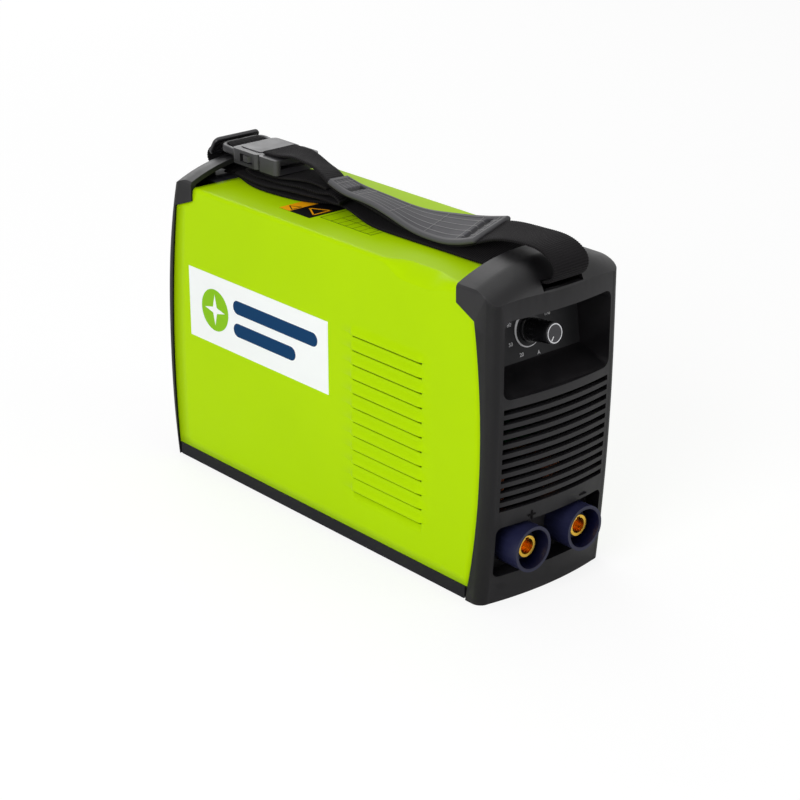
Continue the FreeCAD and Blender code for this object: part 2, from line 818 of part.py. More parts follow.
def make_rear_bezel():
    shares = (0.16, 0.32, 0.5, 0.66, 0.79, 0.9)
    levels = ["-6", *[f"{share} * rear_crown" for share in shares], "rear_crown + 6"]
    back = f"{REAR} - rear_rim - lip_reach"
    outer = bezel_block("rear_skin", rear_face, REAR_BROW, "rear_crown", levels, back, "0", "1")
    inner = bezel_block("rear_hollow", rear_face, REAR_BROW, "rear_crown", levels,
                        f"({back} - 5)", "bezel_wall", "1")
    shell = cut("rear_shell", outer, inner)
    fitting = box("fitting_block", ("-fitting_half", "fitting_half"),
                  (f"{FITTING} - fitting_thick", FITTING), ("fitting_foot", "fitting_head"))
    bosses = fan_boss_rods("fan_boss")
    boss_group = common("fan_bosses", fuse("fan_boss_rods", *bosses), outer)
    solid = fuse("rear_solid", shell, fitting, boss_group)

    fitting_face = box("fitting_face", ("-fitting_half", "fitting_half"), (FITTING, f"{REAR} + 5"),
                       ("fitting_foot", "fitting_head"))
    switch_hole = box("switch_hole",
                      ("-switch_x - switch_half_width - seam", "-switch_x + switch_half_width + seam"),
                      (f"{REAR} - 20", f"{REAR} + 5"),
                      ("switch_height - switch_half_height - seam",
                       "switch_height + switch_half_height + seam"))
    gland_hole = rod("gland_hole", ("gland_x", f"{REAR} - 20", "gland_height"), "y",
                     "gland_thread + 3 * contact_fit", "30")
    earth_hole = rod("earth_hole", ("0", f"{REAR} - 20", "earth_height"), "y",
                     "earth_radius + 2 * contact_fit", "30")
    screw_holes = []
    for index, (across, up) in enumerate(fan_corners()):
        screw_holes.append(rod(f"fan_screw_hole_{index}", (across, f"{FAN_BACK} - 1", up), "y",
                               "fan_screw", "fan_screw_bite + 2.5"))
    strap_slot = box("rear_strap_slot", ("-strap_slot_half", "strap_slot_half"),
                     (f"{REAR} - bezel_wall - nose_round", f"{REAR} + 5"),
                     ("strap_slot_foot", "strap_slot_head"))
    grille = slot_row("rear_grille", "grille_count", "rear_grille_half", "rear_grille_foot",
                      "rear_grille_pitch", "rear_grille_slot", (f"{FAN_BACK} + 0.1", f"{REAR} + 5"))
    grille_tool = cut("rear_grille_slots", grille, *fan_boss_rods("boss_keep"))
    edge_left, edge_right = side_skin("rear_waste", rear_edge())
    head_waste = box("rear_head_waste", ("-machine_width", "machine_width"),
                     ("0", f"{REAR} - rear_rim"),
                     ("cover_top - sheet - seam - 1", "rear_crown + 20"))
    foot_waste = box("rear_foot_waste", ("-machine_width", "machine_width"),
                     ("0", f"{REAR} - rear_edge_foot"), ("-5", "sheet + seam"))
    tongue = box("rear_tongue_slot", ("-tongue_half - seam", "tongue_half + seam"),
                 ("0", f"{REAR} - rear_rim + tongue_reach + 2 * seam"),
                 ("cover_top - sheet - seam", "cover_top + seam"))
    return piece(cut("rear_bezel", solid, switch_hole, gland_hole, earth_hole, *screw_holes,
                     strap_slot, fitting_face, grille_tool, edge_left, edge_right, head_waste,
                     foot_waste, tongue))


# ---------------------------------------------------------------- cover, tray and labels

def cover_profile(inset, foot):
    """The folded cover from the front, as a closed outline with the fold's rounding."""
    half = f"({COVER_SIDE} - {inset})"
    top = f"(cover_top - {inset})"
    radius = f"(fold_round - {inset} / 2)"
    bend = f"{1 - HALF:.6f} * {radius}"
    return [
        to(f"-{half}", foot), to(half, foot), to(half, f"{top} - {radius}"),
        via(f"{half} - {bend}", f"{top} - {bend}"), to(f"{half} - {radius}", top),
        to(f"-{half} + {radius}", top),
        via(f"-{half} + {bend}", f"{top} - {bend}"), to(f"-{half}", f"{top} - {radius}"),
    ]


def louvre_outlines(inward, outward, count):
    """Closed outlines of all louvre hoods, sloping out of one side and open downwards."""
    outlines = []
    for index in range(count):
        foot = f"louvre_foot + {index} * louvre_pitch"
        outlines.append([
            to(inward, f"{foot} + louvre_rise"), to(outward, foot),
            to(f"{outward} - sheet * ({outward}) / abs({outward})", foot),
            to(inward, f"{foot} + louvre_rise - louvre_lap"),
        ])
    return outlines


def make_sheet_cover():
    outer = prism("cover_outside", "XZ", cover_profile("0", "tray_height + seam"), f"{FRONT}", f"{REAR}")
    inner = prism("cover_inside", "XZ", cover_profile("sheet", "0"), f"{FRONT} - 5", f"{REAR} + 5")
    folded = cut("cover_folded", outer, inner)
    front_keep = prism("cover_front_keep", "YZ", front_edge("seam"), "-machine_width", "machine_width")
    rear_keep = prism("cover_rear_keep", "YZ", rear_edge("seam"), "-machine_width", "machine_width")
    trimmed = common("cover_trimmed", folded, fuse("cover_keep", front_keep, rear_keep))
    tongue = box("cover_tongues", ("-tongue_half", "tongue_half"),
                 (f"{FRONT} + front_rim - tongue_reach", f"{REAR} - rear_rim + tongue_reach"),
                 ("cover_top - sheet", "cover_top"))
    count = int(number("louvre_count"))
    hoods = []
    slots = []
    for side, name in ((-1, "left"), (1, "right")):
        skin = f"({side} * ({COVER_SIDE} - sheet / 2))"
        proud = f"({side} * ({COVER_SIDE} + louvre_out))"
        for index, outline in enumerate(louvre_outlines(skin, proud, count)):
            hoods.append(prism(f"hood_{name}_{index}", "XZ", outline,
                               f"{FRONT} + louvre_end - louvre_length", f"{FRONT} + louvre_end"))
            foot = f"louvre_foot + {index} * louvre_pitch + louvre_gap_foot"
            slots.append(box(f"slot_{name}_{index}",
                             (f"{side} * {COVER_SIDE} - 1.5 * sheet", f"{side} * {COVER_SIDE} + 1.5 * sheet"),
                             (f"{FRONT} + louvre_end - louvre_length + louvre_gap_end",
                              f"{FRONT} + louvre_end - louvre_gap_end"),
                             (foot, f"{foot} + louvre_gap")))
    blank = cut("cover_blank", fuse("cover_sheet", trimmed, tongue), *slots)
    return piece(fuse("sheet_cover", blank, *hoods))


def make_base_tray():
    tray = plate("base_tray", "YZ", [[
        to(f"{FRONT} + front_edge_foot + seam", "sheet / 2"),
        to(f"{FRONT} + front_edge_foot + seam + sheet / 2", "0"),
        to(f"{REAR} - rear_edge_foot - seam - sheet / 2", "0"),
        to(f"{REAR} - rear_edge_foot - seam", "sheet / 2"),
        to(f"{REAR} - rear_edge_foot - seam", "tray_height"),
        to(f"{FRONT} + front_edge_foot + seam", "tray_height"),
    ]], f"-{COVER_SIDE}", COVER_SIDE)
    pocket(tray, "YZ", [rectangle(f"{FRONT} - 5", f"{REAR} + 5", "sheet", "tray_height + 5")],
           f"-{COVER_SIDE} + sheet", f"{COVER_SIDE} - sheet")
    return piece(tray)


def make_labels():
    side_start = f"{FRONT} + side_label_start"
    piece(plate("side_label", "YZ",
                [rectangle(side_start, f"{side_start} + side_label_length",
                           "side_label_foot", "side_label_foot + side_label_height")],
                f"-{COVER_SIDE} - label_film", f"-{COVER_SIDE}"))
    left = f"-{SIDE} + top_label_edge"
    for name, inset in (("rating", "rating_label_inset"), ("caution", "0")):
        start = f"{FRONT} + {name}_label_start"
        piece(plate(f"{name}_label", "XY",
                    [rectangle(f"{left} + {inset}", f"{left} + top_label_width",
                               start, f"{start} + {name}_label_length")],
                    "cover_top", "cover_top + label_film"))


# ---------------------------------------------------------------- front controls

def make_controls():
    half = "window_half + panel_overlap"
    foot = "window_foot - panel_overlap"
    head = "window_head + panel_overlap"
    blank = prism("panel_blank", "YZ", [
        to(panel_y(foot), foot), to(f"{panel_y(foot)} + panel_thick", foot),
        to(f"{panel_y(head)} + panel_thick", head), to(panel_y(head), head),
    ], f"-({half})", half)
    bush_hole = tilted_rod("panel_bush_hole", "-6", "bush + contact_fit", "12")
    lamp_holes = []
    lamps = []
    for index, level in enumerate(("0", "lamp_spread")):
        height = f"knob_height - lamp_spread / 2 + {level}"
        at = ("-lamp_x", f"{panel_y(height)} - lamp_proud", height)
        lamps.append(rod(f"lamp_{index}", at, "y", "lamp_radius", "lamp_length"))
        lamp_holes.append(rod(f"lamp_hole_{index}", at, "y", "lamp_radius + contact_fit", "lamp_length"))
    piece(cut("control_panel", blank, bush_hole, *lamp_holes))
    piece(group("indicator_lamps", *lamps))

    reach = "knob_length - knob_cap_thick - 2"
    skirt = tilted_rod("knob_skirt_disc", "knob_gap", "knob_skirt", "knob_skirt_thick")
    barrel = tilted_rod("knob_barrel", "knob_gap", "knob_root", "knob_length - knob_gap", "knob_tip")
    socket = tilted_rod("knob_socket", "0", "spindle + contact_fit", reach)
    bush_space = tilted_rod("knob_bush_space", "0", "bush + bush_nut_wall + knob_gap",
                            "1 + bush_proud + knob_gap")
    seat = tilted_rod("knob_cap_seat", "knob_length - knob_cap_thick / 2", "knob_cap_radius", "2")
    piece(cut("knob_body", fuse("knob_blank", skirt, barrel), socket, bush_space, seat))
    piece(tilted_rod("knob_cap", "knob_length - knob_cap_thick / 2", "knob_cap_radius - contact_fit",
                     "knob_cap_thick"))
    piece(tilted_rod("potentiometer_shaft", "-spindle_reach", "spindle", f"spindle_reach + {reach}"))

    bush = tilted_rod("pot_bush", "-panel_thick - 1", "bush", "panel_thick + 1 + bush_proud")
    case = tilted_rod("pot_case", "-panel_thick - pot_depth - seam", "pot_radius", "pot_depth")
    bore = tilted_rod("pot_bore", "-spindle_reach - 0.5", "spindle + spindle_clearance", "20")
    piece(cut("potentiometer", fuse("pot_solid", bush, case), bore))
    nut = tilted_rod("pot_nut_blank", "0", "bush + bush_nut_wall", "bush_nut_thick")
    nut_hole = tilted_rod("pot_nut_hole", "-1", "bush + contact_fit", "bush_nut_thick + 2")
    piece(cut("potentiometer_nut", nut, nut_hole))


# ---------------------------------------------------------------- output sockets

def make_socket(side, name):
    across = f"{side}socket_spread / 2"
    back = f"{FRONT} + pocket_depth"
    rim = f"({FRONT} - cup_proud)"
    cup = rod(name + "_cup", (across, rim, "socket_height"), "y", "cup_radius", f"{back} - {rim}")
    neck = rod(name + "_neck", (across, f"{back} - 1", "socket_height"), "y", "neck_radius",
               "pocket_wall + 1")
    hollow = rod(name + "_cup_hollow", (across, f"{rim} - 1", "socket_height"), "y",
                 "cup_radius - cup_wall", f"{back} - {rim} - cup_floor + 1")
    core = rod(name + "_core", (across, f"{rim} - 1", "socket_height"), "y",
               "contact_radius + contact_fit", f"{back} - {rim} + 20")
    sleeve = rod(name + "_sleeve", (across, f"{rim} + contact_recess + sleeve_sink", "socket_height"),
                 "y", "contact_radius + sleeve_wall",
                 f"{back} - {rim} - contact_recess - sleeve_sink")
    cup_shell = cut(name + "_cup_shell", fuse(name + "_cup_neck", cup, neck), hollow)
    piece(cut(name + "_socket_shell", fuse(name + "_shell_solid", cup_shell, sleeve), core))

    start = f"({rim} + contact_recess)"
    length = f"{back} + pocket_wall - {start}"
    contact = rod(name + "_contact_body", (across, start, "socket_height"), "y", "contact_radius",
                  length)
    stud = rod(name + "_contact_stud", (across, f"{start} + {length} - 1", "socket_height"), "y",
               "contact_stud", "contact_stud_length + 1")
    bore = rod(name + "_contact_bore", (across, f"{start} - 1", "socket_height"), "y", "contact_bore",
               "contact_bore_depth + 1")
    key = box(name + "_contact_key", (f"{across} - key_half", f"{across} + key_half"),
              (f"{start} - 1", f"{start} + key_length"),
              ("socket_height", "socket_height + contact_bore + key_depth"))
    piece(cut(name + "_socket_contact", fuse(name + "_contact_solid", contact, stud), bore, key))

    seat = f"{back} + pocket_wall"
    washer = rod(name + "_washer", (across, seat, "socket_height"), "y", "neck_radius + washer_lap",
                 "washer_thick")
    nut = rod(name + "_nut_round", (across, f"{seat} + washer_thick", "socket_height"), "y",
              "nut_radius", "nut_thick")
    hole = rod(name + "_nut_hole", (across, f"{seat} - 1", "socket_height"), "y",
               "contact_stud + contact_fit", "nut_thick + 6")
    return cut(name + "_nut", fuse(name + "_nut_solid", washer, nut), hole)


# ---------------------------------------------------------------- carrying strap

def ribbon(name, middle_line, thickness, half_width):
    """A flat band: a middle line in the side view, given a thickness and carried across."""
    points = [Vector(0, number(along), number(up)) for along, up in middle_line]
    across = Vector(1, 0, 0)
    runs = [(after - before).normalize() for before, after in zip(points, points[1:])]
    normals = []
    for before, after in zip([runs[0]] + runs, runs + [runs[-1]]):
        middle = (before + after).normalize()
        normals.append(across.cross(middle) / middle.dot(after))
    half = number(thickness) / 2
    upper = [point + normal * half for point, normal in zip(points, normals)]
    lower = [point - normal * half for point, normal in zip(points, normals)]
    loop = upper + lower[::-1]
    face = Part.Face(Part.makePolygon(loop + [loop[0]]))
    feature = document.addObject("Part::Feature", name)
    feature.Shape = face.extrude(Vector(2 * number(half_width), 0, 0))
    feature.Placement = Placement(Vector(-number(half_width), 0, 0), Rotation())
    return piece(feature)


def nose_point(degrees):
    """A point of the webbing's middle line round the rear bezel's nose, at an angle up from level."""
    reach = "(nose_round + webbing / 2 + webbing_gap)"
    return (f"{REAR_BROW} + 0.5 - nose_round + {reach} * cos({degrees})",
            f"rear_crown - nose_round + {reach} * sin({degrees}) + 0.5")


def strap_point(distance, height):
    """A point of the grip, by its distance from the buckle and its height above the cover."""
    share = f"({distance} / strap_span)"
    return (f"buckle_front - {share} * (buckle_front - {FRONT} - nose_round)", f"cover_top + {height}")


def make_strap():
    lay = "cover_top + webbing_gap + webbing / 2"
    slot_middle = "(strap_slot_foot + strap_slot_head) / 2"
    buckle_middle = "buckle_foot + buckle_thick / 2"
    grip_line = [strap_point(distance, height) for distance, height in (
        (24, 10.9), (50, 8.8), (70, 7.8), (90, 6.6), (115, 6.2), (133, 7.6), (147, 11.9), (161, 15.4))]
    drop = "(pad_thick / 2 + webbing / 2 + pad_gap)"
    front_loop = [(f"{FRONT} + {back}", f"front_crown + {up}") for back, up in (
        (43, 5.4), (32, 7.6), (20, 8.6), (9.4, 7.8), (1.4, 4.6), (-3.4, 0.4), (-3.4, -3.8), (-0.8, -7.6))]
    ribbon("long_webbing", [
        ("buckle_front + 1", buckle_middle), strap_point(12, 12.4),
        *[(along, f"{up} - {drop}") for along, up in grip_line],
        *front_loop,
        (f"{FRONT} + 3.2", f"{slot_middle} + 0.3"), (f"{FRONT} + 8", slot_middle),
        (f"{FRONT} + 16", lay), (f"{FRONT} + 48", lay), (f"{FRONT} + 78", lay),
    ], "webbing", "webbing_half")
    ribbon("strap_pad", grip_line, "pad_thick", "pad_half")
    ribbon("short_webbing", [
        ("buckle_rear - 1.5", buckle_middle),
        *[nose_point(angle) for angle in (90, 73, 56, 39, 24)],
        (f"{REAR_BROW} - 2", f"{slot_middle} + 0.2"), (f"{REAR_BROW} - 7", slot_middle),
        (f"{REAR_BROW} - 16", lay), ("buckle_joint + 12", lay), ("buckle_front - 6", lay),
    ], "webbing", "webbing_half")
    layer = "(webbing + webbing_gap)"
    ribbon("slack_webbing", [
        ("buckle_front - 6", f"{lay} + {layer}"), ("buckle_rear - 4.4", f"{lay} + {layer}"),
        ("buckle_rear - 2.4", f"{lay} + 1.7 * {layer}"), ("buckle_rear - 6.4", f"{lay} + 2.4 * {layer}"),
        ("buckle_front", f"{lay} + 2.4 * {layer}"),
    ], "webbing", "webbing_half")


def make_buckle():
    top = "buckle_foot + buckle_thick"
    middle = "(buckle_foot + buckle_thick / 2)"
    room = "(webbing / 2 + webbing_play)"
    webbing_mouth = rectangle("-webbing_half - webbing_gap", "webbing_half + webbing_gap",
                              f"{middle} - {room}", f"{middle} + {room}")
    shell = plate("buckle_socket", "XY",
                  [rectangle("-buckle_half", "buckle_half", "buckle_joint", "buckle_rear",
                             "buckle_round")], "buckle_foot", top)
    pocket(shell, "XZ", [rectangle("-buckle_half + buckle_wall", "buckle_half - buckle_wall",
                                   "buckle_foot + buckle_wall", f"{top} - buckle_wall")],
           "buckle_joint - 1", "buckle_rear - 6")
    pocket(shell, "YZ", [rectangle("buckle_joint + 5", "buckle_rear - 8",
                                   "buckle_foot + buckle_wall + prong_gap / 2",
                                   f"{top} - buckle_wall - prong_gap / 2")],
           "-buckle_half - 1", "buckle_half + 1")
    pocket(shell, "XZ", [webbing_mouth], "buckle_rear - 3", "buckle_rear + 1")
    piece(shell)

    plug = plate("buckle_plug", "XY",
                 [rectangle("-buckle_half", "buckle_half", "buckle_front", "buckle_joint - buckle_seam",
                            "buckle_round")], "buckle_foot", top)
    pocket(plug, "XZ", [webbing_mouth], "buckle_front - 1", "buckle_front + plug_mouth")
    pad(plug, "XY", [rectangle("-tongue_bar_half", "tongue_bar_half", "buckle_joint - 1", "buckle_rear - 9")],
        "buckle_foot + buckle_wall + 1.2", f"{top} - buckle_wall - 1.2")
    piece(plug)

    for side, name in ((-1, "left"), (1, "right")):
        outer = f"{side} * (buckle_half - prong_root)"
        inner = f"{side} * (buckle_half - prong_root - prong_shank)"
        prong = [
            to(inner, "buckle_joint"), to(outer, "buckle_joint"),
            to(f"{side} * (buckle_half - prong_root + 0.6)", "buckle_joint + 6"),
            to(f"{side} * buckle_half", "buckle_joint + 9"),
            to(f"{side} * buckle_half", "buckle_rear - 11"),
            to(outer, "buckle_rear - 8.6"), to(inner, "buckle_rear - 9.5"),
        ]
        if side < 0:
            prong = prong[::-1]
        piece(plate(f"buckle_{name}_prong", "XY", [prong],
                    "buckle_foot + buckle_wall + prong_gap", f"{top} - buckle_wall - prong_gap"))


# ---------------------------------------------------------------- rear fittings

def make_switch():
    half_width = "switch_half_width"
    half_height = "switch_half_height"
    margin = "switch_flange_margin"
    frame = plate("switch_frame", "XZ",
                  [rectangle(f"-switch_x - {half_width} - {margin}", f"-switch_x + {half_width} + {margin}",
                             f"switch_height - {half_height} - {margin}",
                             f"switch_height + {half_height} + {margin}", "2")],
                  FITTING, f"{FITTING} + switch_flange")
    pad(frame, "XZ", [rectangle(f"-switch_x - {half_width}", f"-switch_x + {half_width}",
                                f"switch_height - {half_height}", f"switch_height + {half_height}")],
        f"{FITTING} - switch_depth", FITTING)
    pocket(frame, "XZ", [rectangle(f"-switch_x - {half_width} + switch_wall",
                                   f"-switch_x + {half_width} - switch_wall",
                                   f"switch_height - {half_height} + switch_wall",
                                   f"switch_height + {half_height} - switch_wall")],
           f"{FITTING} - switch_depth + 6", f"{FITTING} + switch_flange + 1")
    pocket(frame, "YZ", [disc(f"{FITTING} - 1", "switch_height", "rocker_pin + spindle_clearance")],
           "-switch_x - switch_half_width + switch_wall - 0.9",
           "-switch_x + switch_half_width - switch_wall + 0.9")
    piece(frame)

    width = f"({half_width} - switch_wall - rocker_gap)"
    arm = f"({half_height} - switch_wall - rocker_gap - 0.9)"
    rocker_blank = prism("rocker_blank", "YZ", [
        to("-rocker_depth", f"-{arm} + 3"), to("rocker_proud - 1.2", f"-{arm}"),
        to("rocker_proud", f"-{arm} + 0.4"),
        via("rocker_proud - 2.4", "0"), to("rocker_proud", f"{arm} - 0.4"),
        to("rocker_proud - 1.2", arm), to("-rocker_depth", f"{arm} - 3"),
    ], f"-{width}", width)
    pin = rod("rocker_pin_rod", (f"-{width} - 0.4", "0", "0"), "x", "rocker_pin", f"2 * {width} + 0.8")
    rocker = fuse("switch_rocker", rocker_blank, pin)
    place(rocker, ("-switch_x", f"{FITTING} - 1", "switch_height"),
          Rotation(Vector(1, 0, 0), -number("switch_throw") / 2))
    piece(rocker)


def make_gland():
    flange = rod("gland_flange_disc", ("gland_x", FITTING, "gland_height"), "y", "gland_flange",
                 "gland_flange_thick")
    thread = rod("gland_thread_rod", ("gland_x", f"{FITTING} - gland_length", "gland_height"), "y",
                 "gland_thread", "gland_length + 1")
    spout = rod("gland_spout_rod", ("gland_x", f"{FITTING} + gland_flange_thick - 1", "gland_height"),
                "y", "gland_thread", "gland_spout")
    bore = rod("gland_bore_rod", ("gland_x", f"{FITTING} - 2 * gland_length", "gland_height"), "y",
               "gland_bore", "5 * gland_length")
    piece(cut("cord_gland", fuse("gland_solid", flange, thread, spout), bore))

    cap = document.addObject("Part::Cone", "gland_cap_cone")
    bind(cap, Radius1="gland_flange - 0.6", Radius2="gland_flange - 3.4", Height="gland_cap_length")
    place(cap, ("gland_x", f"{FITTING} + gland_flange_thick", "gland_height"), TURNS["y"])
    inside = ("gland_x", f"{FITTING} + gland_flange_thick - 1", "gland_height")
    socket = rod("gland_cap_socket", inside, "y", "gland_thread + contact_fit",
                 "gland_spout + contact_fit")
    mouth = rod("gland_cap_mouth", inside, "y", "gland_bore + 0.4", "gland_cap_length + 5")
    piece(cut("gland_cap", cap, socket, mouth))

    nut_start = f"{FITTING} - fitting_thick - gland_nut_thick"
    nut = rod("gland_nut_round", ("gland_x", nut_start, "gland_height"), "y", "gland_flange",
              "gland_nut_thick")
    hole = rod("gland_nut_hole", ("gland_x", f"{nut_start} - 1", "gland_height"), "y",
               "gland_thread + contact_fit", "gland_nut_thick + 3")
    piece(cut("gland_nut", nut, hole))


def make_earth_stud():
    clamp = "(earth_washer_thick + earth_nut_thick)"
    core = rod("earth_stud_core", ("0", f"{FITTING} - earth_inside", "earth_height"), "y", "earth_core",
               f"earth_inside + {clamp} + 1")
    thread = rod("earth_stud_thread", ("0", f"{FITTING} + {clamp}", "earth_height"), "y",
                 "earth_radius", f"earth_reach - {clamp}")
    piece(fuse("earth_stud", core, thread))
    nuts = []
    for name, start, radius, thick in (
            ("outer_washer", FITTING, "earth_washer", "earth_washer_thick"),
            ("outer_nut", f"{FITTING} + earth_washer_thick", "earth_nut", "earth_nut_thick"),
            ("inner_nut", f"{FITTING} - fitting_thick - earth_nut_thick", "earth_nut", "earth_nut_thick")):
        blank = rod(f"earth_{name}_blank", ("0", start, "earth_height"), "y", radius, thick)
        hole = rod(f"earth_{name}_hole", ("0", f"{start} - 1", "earth_height"), "y",
                   "earth_core + contact_fit", f"{thick} + 2")
        nuts.append(cut(f"earth_{name}", blank, hole))
    piece(group("earth_nuts", *nuts))


# ---------------------------------------------------------------- fan

def make_fan():
    frame = plate("fan_frame", "XZ",
                  [rectangle("-fan_size / 2", "fan_size / 2", "fan_height - fan_size / 2",
                             "fan_height + fan_size / 2", "4")], FAN_FRONT, FAN_BACK)
    pocket(frame, "XZ", [disc("0", "fan_height", "fan_throat")], f"{FAN_FRONT} - 1", f"{FAN_BACK} + 1")
    pad(frame, "XZ", [disc("0", "fan_height", "fan_hub - 1")], FAN_FRONT, f"{FAN_FRONT} + fan_floor")
    for arm in (rectangle("-fan_throat - 0.5", "fan_throat + 0.5", "fan_height - fan_arm_half",
                          "fan_height + fan_arm_half"),
                rectangle("-fan_arm_half", "fan_arm_half", "fan_height - fan_throat - 0.5",
                          "fan_height + fan_throat + 0.5")):
        pad(frame, "XZ", [arm], FAN_FRONT, f"{FAN_FRONT} + fan_plate")
    pocket(frame, "XZ", [disc("0", "fan_height", "fan_axle + spindle_clearance")],
           f"{FAN_FRONT} - 1", f"{FAN_FRONT} + fan_floor + 1")
    pocket(frame, "XZ", [disc(across, up, "fan_screw + 2 * contact_fit") for across, up in fan_corners()],
           f"{FAN_FRONT} - 1", f"{FAN_BACK} + 1")
    piece(frame)

    hub_start = f"{FAN_FRONT} + fan_floor + fan_float"
    hub_length = "(fan_thick - fan_floor - 2)"
    hub = rod("fan_hub_rod", ("0", hub_start, "fan_height"), "y", "fan_hub", hub_length)
    axle = rod("fan_axle_rod", ("0", f"{FAN_FRONT} + 0.4", "fan_height"), "y", "fan_axle",
               "fan_floor + 2")
    blades = []
    count = int(number("fan_blade_count"))
    root = "(fan_hub - fan_blade_root)"
    for index in range(count):
        blade = document.addObject("Part::Box", f"fan_blade_{index}")
        bind(blade, Length=f"fan_blade_reach - {root}", Width="fan_blade_chord", Height="fan_blade_thick")
        spin = Rotation(Vector(0, 1, 0), 360 * index / count)
        turn = spin * Rotation(Vector(1, 0, 0), BLADE_PITCH)
        offset = turn.multVec(Vector(0, -number("fan_blade_chord") / 2, -number("fan_blade_thick") / 2))
        out = spin.multVec(Vector(1, 0, 0))
        place(blade, (f"{out.x:.6f} * {root} + {offset.x:.6f}",
                      f"{hub_start} + {hub_length} / 2 + {offset.y:.6f}",
                      f"fan_height + {out.z:.6f} * {root} + {offset.z:.6f}"), turn)
        blades.append(blade)
    piece(fuse("fan_rotor", hub, axle, *blades))

    screws = []
    for index, (across, up) in enumerate(fan_corners()):
        shank = rod(f"fan_screw_shank_{index}", (across, f"{FAN_FRONT} - 0.5", up), "y",
                    "fan_screw - contact_fit", "fan_thick + 0.5 + fan_screw_bite")
        head = rod(f"fan_screw_head_{index}", (across, f"{FAN_FRONT} - 2.4", up), "y",
                   "fan_screw + 1.6", "2.4")
        screws.append(fuse(f"fan_screw_{index}", shank, head))
    piece(group("fan_screws", *screws))


# ---------------------------------------------------------------- electronics

# Each part's place on the boards is its distance from the middle of the machine.

def make_boards():
    corners = [(across, along) for across in ("-board_half + board_corner", "board_half - board_corner")
               for along in ("-board_front + board_corner", "board_rear - board_corner")]
    piece(plate("main_board", "XY", [rectangle("-board_half", "board_half", "-board_front", "board_rear")],
                "board_height", BOARD_TOP))
    piece(group("board_standoffs", *[
        rod(f"standoff_{index}", (across, along, "sheet"), "z", "post_radius", "board_height - sheet")
        for index, (across, along) in enumerate(corners)]))

    board_y = f"({panel_y('knob_height')} + panel_thick + pot_depth + 1.9)"
    low, high = "knob_height - 17", "knob_height + 17"
    piece(plate("control_board", "XZ", [rectangle("-36", "36", low, high)],
                board_y, f"{board_y} + board_thick"))
    posts = []
    for across in ("-33", "33"):
        for up in (f"{low} + 4", f"{high} - 4"):
            start = f"{panel_y(up)} + panel_thick + seam + 0.1"
            posts.append(rod(f"control_post_{len(posts)}", (across, start, up), "y",
                             "control_post_radius", f"{board_y} - ({start})"))
    piece(group("control_posts", *posts))


def make_heatsink(name, left, right, fins, fin_height, front, rear):
    """A finned extrusion standing on the main board between two distances along the machine."""
    sink = plate(name, "XZ", [rectangle(left, right, BOARD_TOP, f"{BOARD_TOP} + fin_base")], front, rear)
    for index in range(fins):
        start = f"{left} + fin_thick + {index} * ({right} - ({left}) - 3 * fin_thick) / {fins - 1}"
        outline = rectangle(start, f"{start} + fin_thick", f"{BOARD_TOP} + fin_base - 0.01",
                            f"{BOARD_TOP} + {fin_height}")
        pad(sink, "XZ", [outline], front, rear)
    return piece(sink)


def make_board_parts():
    make_heatsink("transistor_heatsink", "-38", "-6", 6, "42", "-62", "42")
    make_heatsink("diode_heatsink", "8", "38", 5, "34", "-62", "4")
    piece(group("transistors", *[
        box(f"transistor_{index}", ("-5.9", "-0.9"), (f"-56 + {index} * 24", f"-40 + {index} * 24"),
            (BOARD_TOP, f"{BOARD_TOP} + 21")) for index in range(4)]))
    piece(group("bulk_capacitors", *[
        rod(f"capacitor_{index}", ("24", f"20 + {index} * 25", BOARD_TOP), "z", "11.5", "36")
        for index in range(3)]))
    piece(box("bridge_rectifier", ("-36", "-8"), ("46", "74"), (BOARD_TOP, f"{BOARD_TOP} + 8")))
    piece(box("soft_start_relay", ("-22", "-4"), ("-88", "-66"), (BOARD_TOP, f"{BOARD_TOP} + 16")))


def make_transformer():
    foot = "sheet"
    head = f"{foot} + transformer_height"
    front, rear = "-transformer_depth / 2 - 2", "transformer_depth / 2 - 2"
    core = plate("transformer_core", "XZ", [rectangle("-transformer_half", "transformer_half", foot, head)],
                 front, rear)
    window = [rectangle(near, far, f"{foot} + core_leg", f"{head} - core_leg")
              for near, far in (("-core_leg - core_window", "-core_leg"),
                                ("core_leg", "core_leg + core_window"))]
    pocket(core, "XZ", window, f"{front} - 1", f"{rear} + 1")
    piece(core)
    outside = "(core_leg + core_window - winding_gap)"
    winding = plate("transformer_winding", "XZ",
                    [rectangle(f"-{outside}", outside, f"{foot} + core_leg + winding_gap",
                               f"{head} - core_leg - winding_gap", "2")],
                    f"{front} - winding_reach", f"{rear} + winding_reach")
    pocket(winding, "XZ", [rectangle("-core_leg - winding_gap", "core_leg + winding_gap",
                                     f"{foot} + core_leg - 1", f"{head} - core_leg + 1")],
           f"{front} - winding_gap", f"{rear} + winding_gap")
    piece(winding)


def make_bus_bars():
    seat = f"({FRONT} + pocket_depth + pocket_wall + washer_thick + nut_thick)"
    landing = "-board_front + bus_landing"
    for side, name in ((-1, "positive"), (1, "negative")):
        middle = f"({side} * (socket_spread / 2 + bus_offset))"
        bar = plate(f"{name}_bus_bar", "YZ", [[
            to(seat, "socket_height - 7"), to(f"{seat} + bus_thick", "socket_height - 7"),
            to(f"{seat} + bus_thick", "board_height - bus_thick"), to(landing, "board_height - bus_thick"),
            to(landing, "board_height"), to(seat, "board_height"),
        ]], f"{middle} - bus_width / 2", f"{middle} + bus_width / 2")
        pocket(bar, "XZ", [disc(f"{side} * socket_spread / 2", "socket_height",
                                "contact_stud + contact_fit")], f"{seat} - 1", f"{seat} + bus_thick + 1")
        piece(bar)


# ---------------------------------------------------------------- build, check and write

